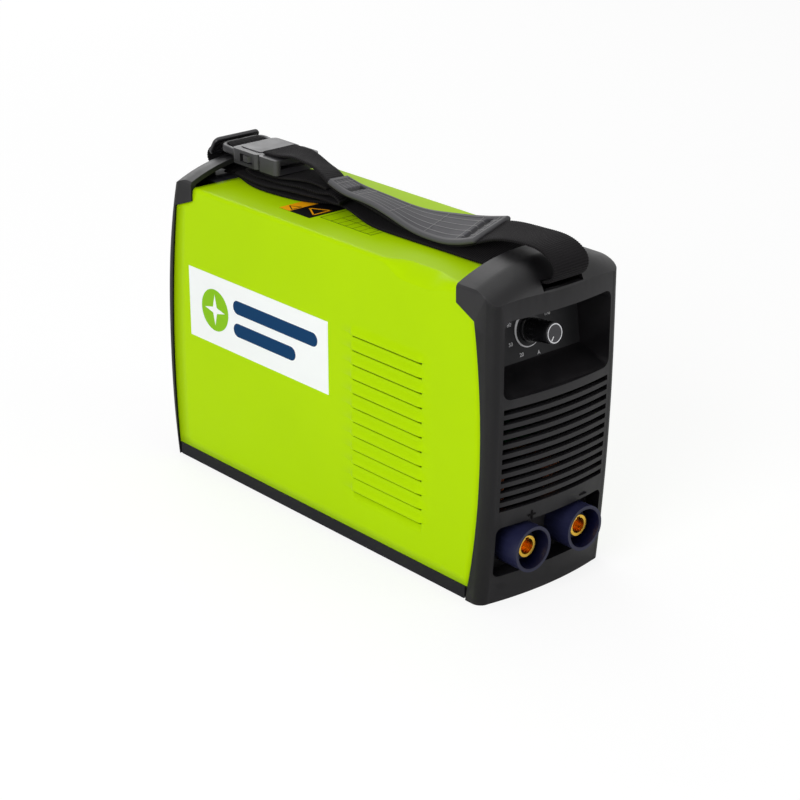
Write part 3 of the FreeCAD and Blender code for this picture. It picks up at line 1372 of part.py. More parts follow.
make_base_tray()
make_sheet_cover()
make_front_bezel()
make_rear_bezel()
make_labels()
make_controls()
piece(group("socket_nuts", make_socket("-", "positive"), make_socket("", "negative")))
make_strap()
make_buckle()
make_switch()
make_gland()
make_earth_stud()
make_fan()
make_boards()
make_board_parts()
make_transformer()
make_bus_bars()

document.recompute()
for thing in document.Objects:
    if "Invalid" in thing.State or "Error" in thing.State:
        raise ValueError(f"{thing.Name} did not build: {thing.State}")
for part in PIECES:
    if part.Shape.isNull() or not part.Shape.isValid() or not part.Shape.Solids:
        raise ValueError(f"{part.Label} has no valid solid")

os.makedirs("parts", exist_ok=True)
for part in PIECES:
    part.Shape.exportStep(os.path.join("parts", part.Label + ".step"))
    print(part.Label, len(part.Shape.Solids), round(part.Shape.Volume, 1))
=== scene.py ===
import json
import math

import bmesh
import bpy
import numpy as np
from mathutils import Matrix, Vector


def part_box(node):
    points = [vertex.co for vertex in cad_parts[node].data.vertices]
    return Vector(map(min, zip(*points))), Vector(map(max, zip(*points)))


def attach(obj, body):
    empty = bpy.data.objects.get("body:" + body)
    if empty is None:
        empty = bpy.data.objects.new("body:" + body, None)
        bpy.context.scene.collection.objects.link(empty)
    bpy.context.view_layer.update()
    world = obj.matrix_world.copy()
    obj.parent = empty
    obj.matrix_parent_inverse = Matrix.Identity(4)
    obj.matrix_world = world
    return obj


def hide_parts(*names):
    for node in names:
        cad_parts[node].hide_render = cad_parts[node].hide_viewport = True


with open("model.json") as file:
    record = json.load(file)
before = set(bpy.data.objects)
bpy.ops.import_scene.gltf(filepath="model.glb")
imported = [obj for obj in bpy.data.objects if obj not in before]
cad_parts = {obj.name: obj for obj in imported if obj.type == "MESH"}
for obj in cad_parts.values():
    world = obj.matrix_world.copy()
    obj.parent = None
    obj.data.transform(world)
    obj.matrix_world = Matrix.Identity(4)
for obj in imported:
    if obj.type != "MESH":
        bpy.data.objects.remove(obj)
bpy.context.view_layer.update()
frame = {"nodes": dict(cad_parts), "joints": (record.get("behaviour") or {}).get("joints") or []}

# Stick welding inverter: folded green cover with pressed louvres, moulded bezels, webbing strap with a
# grip pad and a side-release buckle. Lengths in this script are millimetres; MM turns them into metres.

MM = 0.001


def corners(node):
    """Lowest and highest corner of a CAD node, in millimetres."""
    low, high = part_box(node)
    return np.array(low) / MM, np.array(high) / MM


COVER_LOW, COVER_HIGH = corners("sheet_cover")
FRONT = corners("front_bezel")[0][1]
REAR = corners("rear_bezel")[1][1]
HALF = -corners("side_label")[1][0]
TOP = COVER_HIGH[2]
FOOT = COVER_LOW[2]
SEAM = 0.35


# ---------------------------------------------------------------- numbers

def smooth(share):
    """0 below 0, 1 above 1 and 3t^2 - 2t^3 between."""
    share = np.clip(share, 0, 1)
    return share * share * (3 - 2 * share)


def natural_curve(points, count):
    """A natural cubic spline through the points, at count places evenly spaced along its chords.

    The second differences solve the usual three-term equations, written as one matrix."""
    points = np.array(points, float)
    knots = np.concatenate([[0], np.cumsum(np.linalg.norm(np.diff(points, axis=0), axis=1))])
    gap = np.diff(knots)
    size = len(points)
    matrix = np.eye(size)
    right = np.zeros_like(points)
    inner = np.arange(1, size - 1)
    matrix[inner, inner - 1] = gap[:-1]
    matrix[inner, inner] = 2 * (gap[:-1] + gap[1:])
    matrix[inner, inner + 1] = gap[1:]
    slope = np.diff(points, axis=0) / gap[:, None]
    right[1:-1] = 6 * np.diff(slope, axis=0)
    bend = np.linalg.solve(matrix, right)
    at = np.linspace(0, knots[-1], count)
    span = np.clip(np.searchsorted(knots, at, side="right") - 1, 0, size - 2)
    before = ((knots[span + 1] - at) / gap[span])[:, None]
    after = 1 - before
    wide = (gap[span] ** 2 / 6)[:, None]
    return (before * points[span] + after * points[span + 1]
            + wide * ((before ** 3 - before) * bend[span] + (after ** 3 - after) * bend[span + 1]))


def unit(vectors):
    """Each row at length one."""
    return vectors / np.maximum(np.linalg.norm(vectors, axis=-1, keepdims=True), 1e-9)


def grid_quads(rows, columns, closed=False):
    """Quads of a rows x columns grid whose normal is the row direction crossed with the column one."""
    ring = columns if closed else columns - 1
    row, column = np.meshgrid(np.arange(rows - 1), np.arange(ring), indexing="ij")
    following = (column + 1) % columns
    quads = np.stack([row * columns + column, (row + 1) * columns + column,
                      (row + 1) * columns + following, row * columns + following], axis=-1)
    return quads.reshape(-1, 4)


# ---------------------------------------------------------------- pieces

def piece(name, points, faces, material, body="housing", soft=True):
    """A mesh piece from points in millimetres and faces as index rows, riding on a body."""
    mesh = bpy.data.meshes.new(name)
    mesh.from_pydata((np.asarray(points) * MM).tolist(), [], [list(map(int, face)) for face in faces])
    mesh.update()
    return finished(name, mesh, material, body, soft)


def finished(name, mesh, material, body="housing", soft=True):
    """Links a mesh as a piece with its material, slot and body."""
    mesh.materials.clear()
    mesh.materials.append(material)
    mesh.shade_smooth()
    if not soft:
        mesh.shade_flat()
    made = bpy.data.objects.new(name, mesh)
    bpy.context.scene.collection.objects.link(made)
    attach(made, body)
    return made


def modifier(made, kind, **settings):
    """Adds one modifier with its settings."""
    added = made.modifiers.new(kind.lower(), kind)
    for name, value in settings.items():
        setattr(added, name, value)
    return added


def softened(made, width, segments=2, angle=38):
    """Rounds the edges sharper than angle by width millimetres."""
    return modifier(made, "BEVEL", width=width * MM, segments=segments, limit_method="ANGLE",
                    angle_limit=math.radians(angle), harden_normals=False)


def put_attribute(mesh, name, values):
    """Stores one number per vertex for the materials to read."""
    layer = mesh.attributes.new(name, "FLOAT", "POINT")
    layer.data.foreach_set("value", np.asarray(values, np.float32).ravel())


def put_uv(mesh, coordinates):
    """A UV map from one pair of numbers per vertex."""
    layer = mesh.uv_layers.new(name="UVMap")
    loops = np.zeros(len(mesh.loops), np.int32)
    mesh.loops.foreach_get("vertex_index", loops)
    layer.data.foreach_set("uv", np.asarray(coordinates, np.float32)[loops].ravel())


# ---------------------------------------------------------------- materials

class Finish:
    """One procedural material: a principled shader and short helpers for its nodes."""

    def __init__(self, name, roughness=0.5, metallic=0.0, specular=0.5, coat=0.0, sheen=0.0):
        self.material = bpy.data.materials.new(name)
        self.material.use_nodes = True
        self.tree = self.material.node_tree
        self.shader = self.tree.nodes["Principled BSDF"]
        self.shader.inputs["Roughness"].default_value = roughness
        self.shader.inputs["Metallic"].default_value = metallic
        self.shader.inputs["Specular IOR Level"].default_value = specular
        self.shader.inputs["Coat Weight"].default_value = coat
        self.shader.inputs["Coat Roughness"].default_value = 0.12
        self.shader.inputs["Sheen Weight"].default_value = sheen
        self.shader.inputs["Sheen Roughness"].default_value = 0.4
        self.place = self.node("ShaderNodeTexCoord").outputs["Object"]

    def node(self, kind, **settings):
        made = self.tree.nodes.new(kind)
        for name, value in settings.items():
            setattr(made, name, value)
        return made

    def link(self, source, target):
        self.tree.links.new(source, target)

    def put(self, target, value):
        """Sets a socket to a number or a colour, or links it to another socket."""
        if isinstance(value, bpy.types.NodeSocket):
            self.link(value, target)
        else:
            target.default_value = value

    def math(self, operation, first, second=0.0, third=0.0):
        made = self.node("ShaderNodeMath", operation=operation)
        for target, value in zip(made.inputs, (first, second, third)):
            self.put(target, value)
        return made.outputs[0]

    def noise(self, scale, detail=3.0, stretch=(1, 1, 1)):
        """Noise of about scale cells to the metre on the object's own coordinates."""
        mapping = self.node("ShaderNodeMapping")
        mapping.inputs["Scale"].default_value = stretch
        self.link(self.place, mapping.inputs["Vector"])
        made = self.node("ShaderNodeTexNoise")
        made.inputs["Scale"].default_value = scale
        made.inputs["Detail"].default_value = detail
        self.link(mapping.outputs["Vector"], made.inputs["Vector"])
        return made.outputs["Fac"]

    def spread(self, source, low, high, start=0.3, end=0.7):
        """Maps start..end of a socket to low..high."""
        made = self.node("ShaderNodeMapRange")
        self.link(source, made.inputs["Value"])
        for name, value in (("From Min", start), ("From Max", end), ("To Min", low), ("To Max", high)):
            made.inputs[name].default_value = value
        return made.outputs["Result"]

    def blend(self, share, first, second):
        made = self.node("ShaderNodeMix", data_type="RGBA")
        self.put(made.inputs[0], share)
        self.put(made.inputs[6], first)
        self.put(made.inputs[7], second)
        return made.outputs[2]

    def colour(self, value):
        self.put(self.shader.inputs["Base Color"], value)
        return self

    def tones(self, first, second, scale=14.0):
        """Base colour wandering between two tones."""
        share = self.spread(self.noise(scale, 4.0), 0, 1)
        return self.colour(self.blend(share, tone(first), tone(second)))

    def rough(self, low, high, scale=60.0):
        """Roughness wandering between two values."""
        self.link(self.spread(self.noise(scale, 4.0), low, high), self.shader.inputs["Roughness"])
        return self

    def grain(self, height, strength, distance=0.1):
        """Bump from a height socket; distance in millimetres."""
        made = self.node("ShaderNodeBump")
        made.inputs["Strength"].default_value = strength
        made.inputs["Distance"].default_value = distance * MM
        self.link(height, made.inputs["Height"])
        self.link(made.outputs["Normal"], self.shader.inputs["Normal"])
        return self

    def attribute(self, name):
        return self.node("ShaderNodeAttribute", attribute_name=name).outputs["Fac"]

    def pattern(self, axis):
        """The piece's UV coordinate along 0 its length or 1 its width, in metres."""
        uv = self.node("ShaderNodeTexCoord").outputs["UV"]
        split = self.node("ShaderNodeSeparateXYZ")
        self.link(uv, split.inputs[0])
        return split.outputs[axis]


def tone(rgb):
    """A colour written as three values of 0..255 on the screen, as linear light."""
    share = np.array(rgb, float) / 255
    linear = np.where(share <= 0.04045, share / 12.92, ((share + 0.055) / 1.055) ** 2.4)
    return (*linear.tolist(), 1.0)


def painted(name, first, second, roughness, coat):
    """Powder coat: slow tone drift and a fine orange peel."""
    made = Finish(name, specular=0.04, coat=coat)
    made.tones(first, second, 9.0).rough(roughness, roughness + 0.08, 45.0)
    return made.grain(made.noise(420.0, 2.0), 0.06, 0.1).material


def moulded(name, first, second, roughness=0.5, grain=0.22, size=1500.0, specular=0.45):
    """Moulded plastic with a fine spark-eroded grain, and a painted highlight: a little paler along sharp
    convex edges.
    """
    made = Finish(name, specular=specular)
    # Painted highlight: the colour turns paler where the surface is pointy, along convex edges.
    convex_edge_highlight = made.spread(made.node("ShaderNodeNewGeometry").outputs["Pointiness"], 0, 0.5, 0.52, 0.62)
    share = made.spread(made.noise(35.0, 5.0), 0, 1)
    body = made.blend(share, tone(first), tone(second))
    made.colour(made.blend(convex_edge_highlight, body, tone([min(255, value + 34) for value in second])))
    made.rough(roughness - 0.05, roughness + 0.08, 90.0)
    return made.grain(made.noise(size, 2.0), grain, 0.12).material


def metal(name, first, second, roughness, stretch=(1, 1, 1), size=500.0):
    """Bare or plated metal with machining marks along the stretched axis."""
    made = Finish(name, metallic=1.0, roughness=roughness)
    made.tones(first, second, 120.0)
    marks = made.noise(size, 4.0, stretch)
    made.link(made.spread(marks, roughness - 0.06, roughness + 0.12), made.shader.inputs["Roughness"])
    return made.grain(marks, 0.12, 0.05).material


def woven(name, first, second):
    """Polyester webbing: weft ribs across and two-up-two-down warp yarns along, with a soft sheen. Its colour
    is painted shade: darker down in the weave's hollows, with some random tone.
    """
    made = Finish(name, roughness=0.78, specular=0.1, sheen=0.02)
    along, across = made.pattern(0), made.pattern(1)
    weft = made.math("SINE", made.math("MULTIPLY", along, 2 * math.pi / (1.4 * MM)))
    shift = made.math("MULTIPLY", weft, 0.9)
    warp = made.math("SINE", made.math("ADD", made.math("MULTIPLY", across, 2 * math.pi / (1.1 * MM)), shift))
    height = made.math("MULTIPLY_ADD", warp, 0.35, made.math("MULTIPLY", weft, 0.65))
    fuzz = made.math("MULTIPLY_ADD", made.noise(4000.0, 2.0), 0.8, height)
    # Painted shade: the colour follows the weave's height, darker in the hollows, plus random tone.
    share = made.spread(made.math("ADD", height, made.noise(60.0)), 0, 1, -0.4, 1.6)
    made.colour(made.blend(share, tone(first), tone(second)))
    return made.grain(fuzz, 0.5, 0.12).material


def printed_board(name):
    """Solder resist with faint copper tracks under it."""
    made = Finish(name, roughness=0.35)
    tracks = made.node("ShaderNodeTexBrick")
    tracks.inputs["Scale"].default_value = 160.0
    made.link(made.place, tracks.inputs["Vector"])
    made.colour(made.blend(tracks.outputs["Fac"], tone((20, 96, 54)), tone((34, 128, 72))))
    return made.grain(tracks.outputs["Fac"], 0.2, 0.05).material


def wound(name):
    """Enamelled copper wire: fine parallel turns, with painted shade: darker in the grooves between turns,
    paler on their crests.
    """
    made = Finish(name, metallic=0.85, roughness=0.32)
    split = made.node("ShaderNodeSeparateXYZ")
    made.link(made.place, split.inputs[0])
    turns = made.math("SINE", made.math("MULTIPLY", split.outputs[2], 2 * math.pi / (1.6 * MM)))
    # Painted shade: the same wave that bumps the turns colours them darker in the grooves.
    made.colour(made.blend(made.spread(turns, 0, 1, -1, 1), tone((120, 58, 24)), tone((196, 116, 58))))
    return made.grain(turns, 0.7, 0.4).material


def grip_rubber(name):
    """Grip pad: dark matt panels, paler raised lines and rim (attribute line), black slots (slit)."""
    made = Finish(name, roughness=0.62, specular=0.35)
    share = made.spread(made.noise(50.0, 4.0), 0, 1)
    panel = made.blend(share, tone((44, 43, 48)), tone((54, 53, 58)))
    lined = made.blend(made.attribute("line"), panel, tone((112, 112, 112)))
    made.colour(made.blend(made.attribute("slit"), lined, tone((14, 13, 15))))
    return made.grain(made.noise(1900.0, 3.0), 0.35, 0.12).material


def capped_knob(name):
    """The knob's cap: a satin dark face inside a bright turned ring, told apart by distance from the axis."""
    joint = next(joint for joint in frame["joints"] if joint["name"] == "knob_turn")
    made = Finish(name, roughness=0.22)
    offset = made.node("ShaderNodeVectorMath", operation="SUBTRACT")
    made.link(made.place, offset.inputs[0])
    offset.inputs[1].default_value = joint["pos_m"]
    crossed = made.node("ShaderNodeVectorMath", operation="CROSS_PRODUCT")
    made.link(offset.outputs[0], crossed.inputs[0])
    crossed.inputs[1].default_value = joint["axis"]
    reach = made.node("ShaderNodeVectorMath", operation="LENGTH")
    made.link(crossed.outputs[0], reach.inputs[0])
    ring = made.spread(reach.outputs["Value"], 0, 1, KNOB_RING * MM, (KNOB_RING + 0.1) * MM)
    made.colour(made.blend(ring, tone((50, 49, 53)), tone((236, 236, 240))))
    made.link(ring, made.shader.inputs["Metallic"])
    return made.grain(made.noise(900.0), 0.05, 0.05).material


KNOB_RING = 4.75
KNOB_CAP = capped_knob("knob_cap")
GREEN = painted("green_powder_coat", (173, 214, 1), (178, 219, 1), 0.3, 0.0)
# Black powder coat of the base tray and fan screws; it is also painted shade on the cover's inner faces and
# on the tongues under the bezels.
BLACK_PAINT_AND_SHADE = painted("black_powder_coat_and_painted_shade", (34, 34, 37), (42, 42, 46), 0.42, 0.05)
BEZEL = moulded("bezel_grain", (11, 10, 12), (16, 15, 17), 0.4, 0.25, 1700.0, 0.3)
PANEL = moulded("panel_overlay", (13, 13, 15), (17, 17, 19), 0.5, 0.08, 900.0, 0.25)
GLOSS_BLACK = moulded("knob_gloss", (14, 14, 16), (20, 20, 22), 0.2, 0.03, 700.0)
COMPONENT = moulded("component_black", (34, 34, 35), (44, 44, 45), 0.5, 0.2, 1200.0)
NAVY = moulded("navy_nylon", (5, 7, 32), (8, 10, 40), 0.34, 0.12, 1300.0, 0.4)
BUCKLE = moulded("buckle_acetal", (30, 29, 32), (40, 39, 42), 0.36, 0.12, 900.0)
FERRITE = moulded("pressed_ferrite", (76, 76, 78), (92, 92, 94), 0.7, 0.4, 700.0)
LENS = moulded("lamp_lens", (120, 176, 70), (136, 190, 84), 0.2, 0.03, 500.0)
WEBBING = woven("polyester_webbing", (11, 10, 11), (29, 27, 29))
RUBBER = grip_rubber("grip_rubber")
WHITE_FILM = painted("white_film", (240, 243, 243), (246, 248, 248), 0.3, 0.1)
GREEN_FILM = painted("clear_film_over_green", (166, 208, 3), (172, 213, 3), 0.25, 0.1)
ORANGE_FILM = painted("orange_film", (248, 166, 12), (252, 176, 18), 0.3, 0.1)
BLACK_FILM = painted("black_ink", (14, 13, 14), (18, 17, 18), 0.35, 0.0)
BLUE_INK = painted("dark_blue_ink", (12, 56, 96), (16, 60, 102), 0.35, 0.0)
GREEN_INK = painted("green_ink", (134, 190, 30), (140, 196, 36), 0.35, 0.0)
WHITE_INK = painted("white_ink", (220, 220, 222), (228, 228, 230), 0.4, 0.0)
STEEL = metal("zinc_plate", (176, 176, 178), (196, 196, 200), 0.34)
BRASS = metal("turned_brass", (240, 190, 66), (250, 206, 88), 0.2, (1, 14, 1), 160.0)
ALUMINIUM = metal("extruded_aluminium", (186, 188, 192), (206, 208, 212), 0.36, (1, 12, 1), 220.0)
COPPER = metal("bare_copper", (205, 128, 92), (222, 146, 108), 0.3)
WINDING = wound("enamelled_winding")
BOARD = printed_board("printed_circuit")

NODE_FINISHES = {
    BLACK_PAINT_AND_SHADE: ("base_tray", "fan_screws"),
    BEZEL: ("front_bezel", "rear_bezel", "cord_gland", "gland_cap", "gland_nut", "switch_frame"),
    WHITE_FILM: ("side_label",),
    GREEN_FILM: ("rating_label",),
    BLACK_FILM: ("caution_label",),
    PANEL: ("control_panel",),
    LENS: ("indicator_lamps",),
    GLOSS_BLACK: ("knob_body", "switch_rocker"),
    KNOB_CAP: ("knob_cap",),
    STEEL: ("potentiometer_shaft", "potentiometer_nut"),
    COMPONENT: ("potentiometer", "fan_frame", "fan_rotor", "transistors", "bulk_capacitors",
                "bridge_rectifier", "soft_start_relay", "board_standoffs", "control_posts"),
    NAVY: ("positive_socket_shell", "negative_socket_shell"),
    BRASS: ("positive_socket_contact", "negative_socket_contact", "socket_nuts", "earth_stud", "earth_nuts"),
    BUCKLE: ("buckle_socket", "buckle_plug", "buckle_left_prong", "buckle_right_prong"),
    BOARD: ("main_board", "control_board"),
    ALUMINIUM: ("transistor_heatsink", "diode_heatsink"),
    FERRITE: ("transformer_core",),
    WINDING: ("transformer_winding",),
    COPPER: ("positive_bus_bar", "negative_bus_bar"),
}


def dress_nodes():
    """Gives every CAD node that shows its own finish."""
    for material, nodes in NODE_FINISHES.items():
        for node in nodes:
            mesh = frame["nodes"][node].data
            mesh.materials.clear()
            mesh.materials.append(material)


# ---------------------------------------------------------------- the green cover

FRONT_RIM = 32.4
REAR_RIM = 35.4
FRONT_EAR = TOP - 9.0
REAR_EAR = TOP - 8.0
FRONT_SHOULDER = (18.7, TOP - 15.8)
REAR_SHOULDER = (18.9, TOP - 14.0)
FRONT_LINE = ((23.8, 0.0), (12.9, 84.0), FRONT_SHOULDER)
REAR_LINE = ((13.1, 0.0), (10.3, 62.0), REAR_SHOULDER)
SHEET = 1.2
FRONT_TONGUE = 18.0
REAR_TONGUE = 22.0
FRONT_TONGUE_HALF = 37.0
REAR_TONGUE_HALF = 27.0
FOLD = 2.5
HOLD = 0.5
BEVEL_LEG = 8.4
BEVEL_START = -56.0
BEVEL_RUN = 17.0
BEVEL_END = -92.0
LOUVRES = 12
LOUVRE_FOOT = 32.9
LOUVRE_PITCH = 8.53
LOUVRE_MIDDLE = -60.4
LOUVRE_HALF = 31.0
LOUVRE_OUT = 1.75
LOUVRE_SLOT = 1.7
LOUVRE_OPEN = 1.1
LOUVRE_ROWS = (0.0, 0.06, 0.14, 0.24, 0.36, 0.48, 0.6, 0.72, 1 - LOUVRE_SLOT / LOUVRE_PITCH, 1.0)


def edge_setback(height, line, shoulder, rim, ear):
    """Distance of a cover edge from its end face: a parabola through three points up to the shoulder,
    a straight run to the ear, and the rim's own setback above it."""
    parabola = np.polyfit([point[1] for point in line], [point[0] for point in line], 2)
    low = np.polyval(parabola, height)
    slanted = shoulder[0] + (rim - shoulder[0]) * (height - shoulder[1]) / (ear - shoulder[1])
    return np.where(height <= shoulder[1], low, np.where(height <= ear, slanted, rim)) + SEAM


def louvre_field(along, height_share):
    """How far the sheet is pressed out.

    The ends are one minus the twelfth power of the distance from the middle. They are multiplied by a
    hood that is highest at its lower lip and eases back to the sheet two thirds of the way up."""
    ends = 1 - np.abs(np.clip((along - LOUVRE_MIDDLE) / LOUVRE_HALF, -1, 1)) ** 12
    hood = 1 - smooth((height_share - 0.04) / 0.66)
    return LOUVRE_OUT * smooth(ends * 1.1) * hood


def cover_rows():
    """Rows of the left side from foot to fold, as height, louvre share and whether a slit lies below."""
    rows = [(height, 1.0, 0) for height in np.linspace(FOOT, LOUVRE_FOOT - LOUVRE_SLOT, 5)]
    rows.append((LOUVRE_FOOT, 1.0, 0))
    for count in range(LOUVRES):
        low = LOUVRE_FOOT + count * LOUVRE_PITCH
        rows += [(low + share * LOUVRE_PITCH, share, int(share == 0)) for share in LOUVRE_ROWS]
    last = LOUVRE_FOOT + LOUVRES * LOUVRE_PITCH
    rows += [(height, 1.0, 0) for height in (last + 9, last + 18, FRONT_SHOULDER[1], REAR_SHOULDER[1],
                                             (FRONT_EAR + FRONT_SHOULDER[1]) / 2, FRONT_EAR - 0.6)]
    return np.array(rows)


def make_cover():
    """The folded cover: rows climb the left side, round the fold, cross the top and go down the right.

    Columns run from the front edge to the rear edge. The fold is a quarter of a superellipse whose legs
    grow from the bend radius to the pressed bevel and shrink again towards the front bezel. The faces in and
    under each louvre's lip are left out, and a black tongue under each bezel goes on at the top: painted
    shade, a dark sheet where the inside shows. The sheet's inner faces are painted shade too, black, so the
    louvre slits and the grille show a dark inside."""
    side = cover_rows()
    columns = np.unique(np.concatenate([np.linspace(-91, -83, 17), np.linspace(-83, -38, 16),
                                        np.linspace(-38, -30, 17), np.linspace(-30, 100, 14)]))
    to_front = np.linspace(0, 1, 9)[:-1]
    to_rear = np.linspace(0, 1, 4)[1:]

    def spread_columns(front, rear):
        """One row of y places from the front edge to the rear edge, with the fixed columns between."""
        start = front[:, None] + (columns[0] - front[:, None]) * to_front
        stop = columns[-1] + (rear[:, None] - columns[-1]) * to_rear
        middle = np.broadcast_to(columns, (len(front), len(columns)))
        return np.concatenate([start, middle, stop], axis=1)

    heights = side[:, 0]
    front = FRONT + edge_setback(heights, FRONT_LINE, FRONT_SHOULDER, FRONT_RIM, FRONT_EAR)
    rear = REAR - edge_setback(heights, REAR_LINE, REAR_SHOULDER, REAR_RIM, REAR_EAR)
    side_y = spread_columns(front, rear)
    pressed = louvre_field(side_y, side[:, 1][:, None]) * (side[:, 1] < 1)[:, None]
    side_x = -HALF - pressed
    side_z = np.broadcast_to(heights[:, None], side_y.shape)

    turn = np.linspace(0, math.pi / 2, 13)
    flat = np.array([0.0, 9.0, 18.0, 28.0, 36.0])
    rim_row = spread_columns(np.array([FRONT + FRONT_RIM + SEAM]), np.array([REAR - REAR_RIM - SEAM]))
    fold_y = np.repeat(rim_row, len(turn), axis=0)
    bulge = smooth((BEVEL_START - fold_y) / BEVEL_RUN)
    closing = smooth((BEVEL_END - fold_y) / BEVEL_RUN)
    leg = FOLD + (BEVEL_LEG - FOLD) * bulge * (1 - 0.42 * closing)
    power = 2 / (2 - 0.8 * bulge * (1 - closing))
    across = np.cos(turn)[:, None] ** power
    upward = np.sin(turn)[:, None] ** power
    fold_x = -(HALF - leg + leg * across)
    fold_z = TOP - leg + leg * upward

    top_y = np.repeat(rim_row, len(flat), axis=0)
    top_x = -np.broadcast_to(flat[::-1][:, None], top_y.shape)
    top_z = np.full(top_y.shape, TOP)
    beside = fold_x[-1:] + HOLD
    below = fold_z[:1] - HOLD

    left = np.stack([np.concatenate([side_x, fold_x[:1], fold_x, beside, top_x]),
                     np.concatenate([side_y, fold_y[:1], fold_y, fold_y[:1], top_y]),
                     np.concatenate([side_z, below, fold_z, top_z[:1], top_z])], axis=-1)
    right = left[::-1][1:] * np.array([-1.0, 1, 1])
    points = np.concatenate([left, right])
    rows, width = points.shape[:2]
    quads = grid_quads(rows, width)

    slits = np.nonzero(side[:, 2])[0]
    open_below = np.zeros(rows - 1, bool)
    open_below[slits - 1] = True
    open_below[rows - 1 - slits] = True
    lifted = np.abs(points[..., 0]) - HALF
    deep = np.maximum(lifted[:-1], lifted[1:])
    gap = open_below[:, None] & (np.minimum(deep[:, :-1], deep[:, 1:]) > LOUVRE_OPEN)
    under = np.zeros_like(gap)
    under[slits - 2] = gap[slits - 1]
    under[rows - slits] = gap[rows - 1 - slits]
    quads = quads[~(gap | under).ravel()]

    # Painted shade: flat black tongues under the bezels, dark sheets where the shaded inside of the machine
    # shows.
    tongue_sets = []
    green_faces = len(quads)
    base = rows * width
    front_rim, rear_rim = FRONT + FRONT_RIM, REAR - REAR_RIM - SEAM
    for half, start, stop in ((FRONT_TONGUE_HALF, front_rim - FRONT_TONGUE, front_rim + SEAM),
                              (REAR_TONGUE_HALF, rear_rim, rear_rim + REAR_TONGUE)):
        x, y = np.meshgrid(np.linspace(-half, half, 9), [start, stop], indexing="ij")
        tongue_sets.append(np.stack([x, y, np.full(x.shape, TOP)], axis=-1).reshape(-1, 3))
        quads = np.concatenate([quads, grid_quads(*x.shape) + base])
        base += x.size
    points = np.concatenate([points.reshape(-1, 3), *tongue_sets])

    cover = piece("cover_shell", points, quads, GREEN)
    cover.data.materials.append(BLACK_PAINT_AND_SHADE)
    black = (np.arange(len(quads)) >= green_faces).astype(np.int32)
    cover.data.polygons.foreach_set("material_index", black)
    shape = bmesh.new()
    shape.from_mesh(cover.data)
    loose = [vertex for vertex in shape.verts if not vertex.link_faces]
    bmesh.ops.delete(shape, geom=loose, context="VERTS")
    bmesh.ops.remove_doubles(shape, verts=shape.verts, dist=0.02 * MM)
    bmesh.ops.dissolve_degenerate(shape, edges=shape.edges, dist=0.01 * MM)
    shape.to_mesh(cover.data)
    shape.free()
    cover.data.set_sharp_from_angle(angle=math.radians(50))
    # Painted shade: the inner faces of the solidified sheet take the black material, so the louvre slits and
    # the grille look dark inside.
    modifier(cover, "SOLIDIFY", thickness=SHEET * MM, offset=-1.0, material_offset=1)
    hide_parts("sheet_cover")


# ---------------------------------------------------------------- straps

RIB = 1.4
WEB = 1.7
WEB_HALF = 12.5
THREAD_DEPTH = 0.17
THREAD_REACH = 0.14


def stadium(flat, round_points):
    """A band's section as three rows: place across its flat part, place round its edge and height.

    It goes over the top from left to right, round the right edge and back underneath."""
    steps = np.linspace(-1, 1, flat)
    arc = np.linspace(math.pi / 2, -math.pi / 2, round_points + 2)[1:-1]
    across = np.concatenate([steps, np.ones(round_points), steps[::-1], -np.ones(round_points)])
    edge = np.concatenate([np.zeros(flat), np.cos(arc), np.zeros(flat), -np.cos(arc)])
    height = np.concatenate([np.ones(flat), np.sin(arc), -np.ones(flat), -np.sin(arc)])
    return across, edge, height


def band_frame(edges, count):
    """Centre, side, normal, half width and length along a band given as rows of its left and right edge."""
    edges = np.array(edges, float)
    line = natural_curve(edges, count)
    left, right = line[:, :3], line[:, 3:]
    centre = (left + right) / 2
    half = np.linalg.norm(right - left, axis=1) / 2
    side = unit(right - left)
    forward = unit(np.gradient(centre, axis=0))
    normal = unit(np.cross(forward, side))
    along = np.concatenate([[0], np.cumsum(np.linalg.norm(np.diff(centre, axis=0), axis=1))])
    return centre, side, normal, half, along


def evened(edges, per_rib=6):
    """How many stations a band needs for per_rib of them on each weft rib."""
    edges = np.array(edges, float)
    middle = natural_curve((edges[:, :3] + edges[:, 3:]) / 2, 400)
    return int(np.linalg.norm(np.diff(middle, axis=0), axis=1).sum() / RIB * per_rib)


def capped(points, quads, rings):
    """Closes both ends of a swept ring with a fan round each end's middle."""
    stations, around = rings
    first = np.arange(around)
    last = first + (stations - 1) * around
    middles = np.stack([points[first].mean(0), points[last].mean(0)])
    hub = len(points)
    faces = [list(map(int, quad)) for quad in quads]
    faces += [[int(a), int(b), hub] for a, b in zip(first, np.roll(first, -1))]
    faces += [[int(b), int(a), hub + 1] for a, b in zip(last, np.roll(last, -1))]
    return np.concatenate([points, middles]), faces


def outward(points, faces):
    """Turns every face round if the closed surface encloses a negative volume."""
    fans = np.array([[face[0], face[i], face[i + 1]] for face in faces for i in range(1, len(face) - 1)])
    a, b, c = (points[fans[:, i]] for i in range(3))
    if np.einsum("ij,ij->i", a, np.cross(b, c)).sum() < 0:
        return [face[::-1] for face in faces]
    return faces


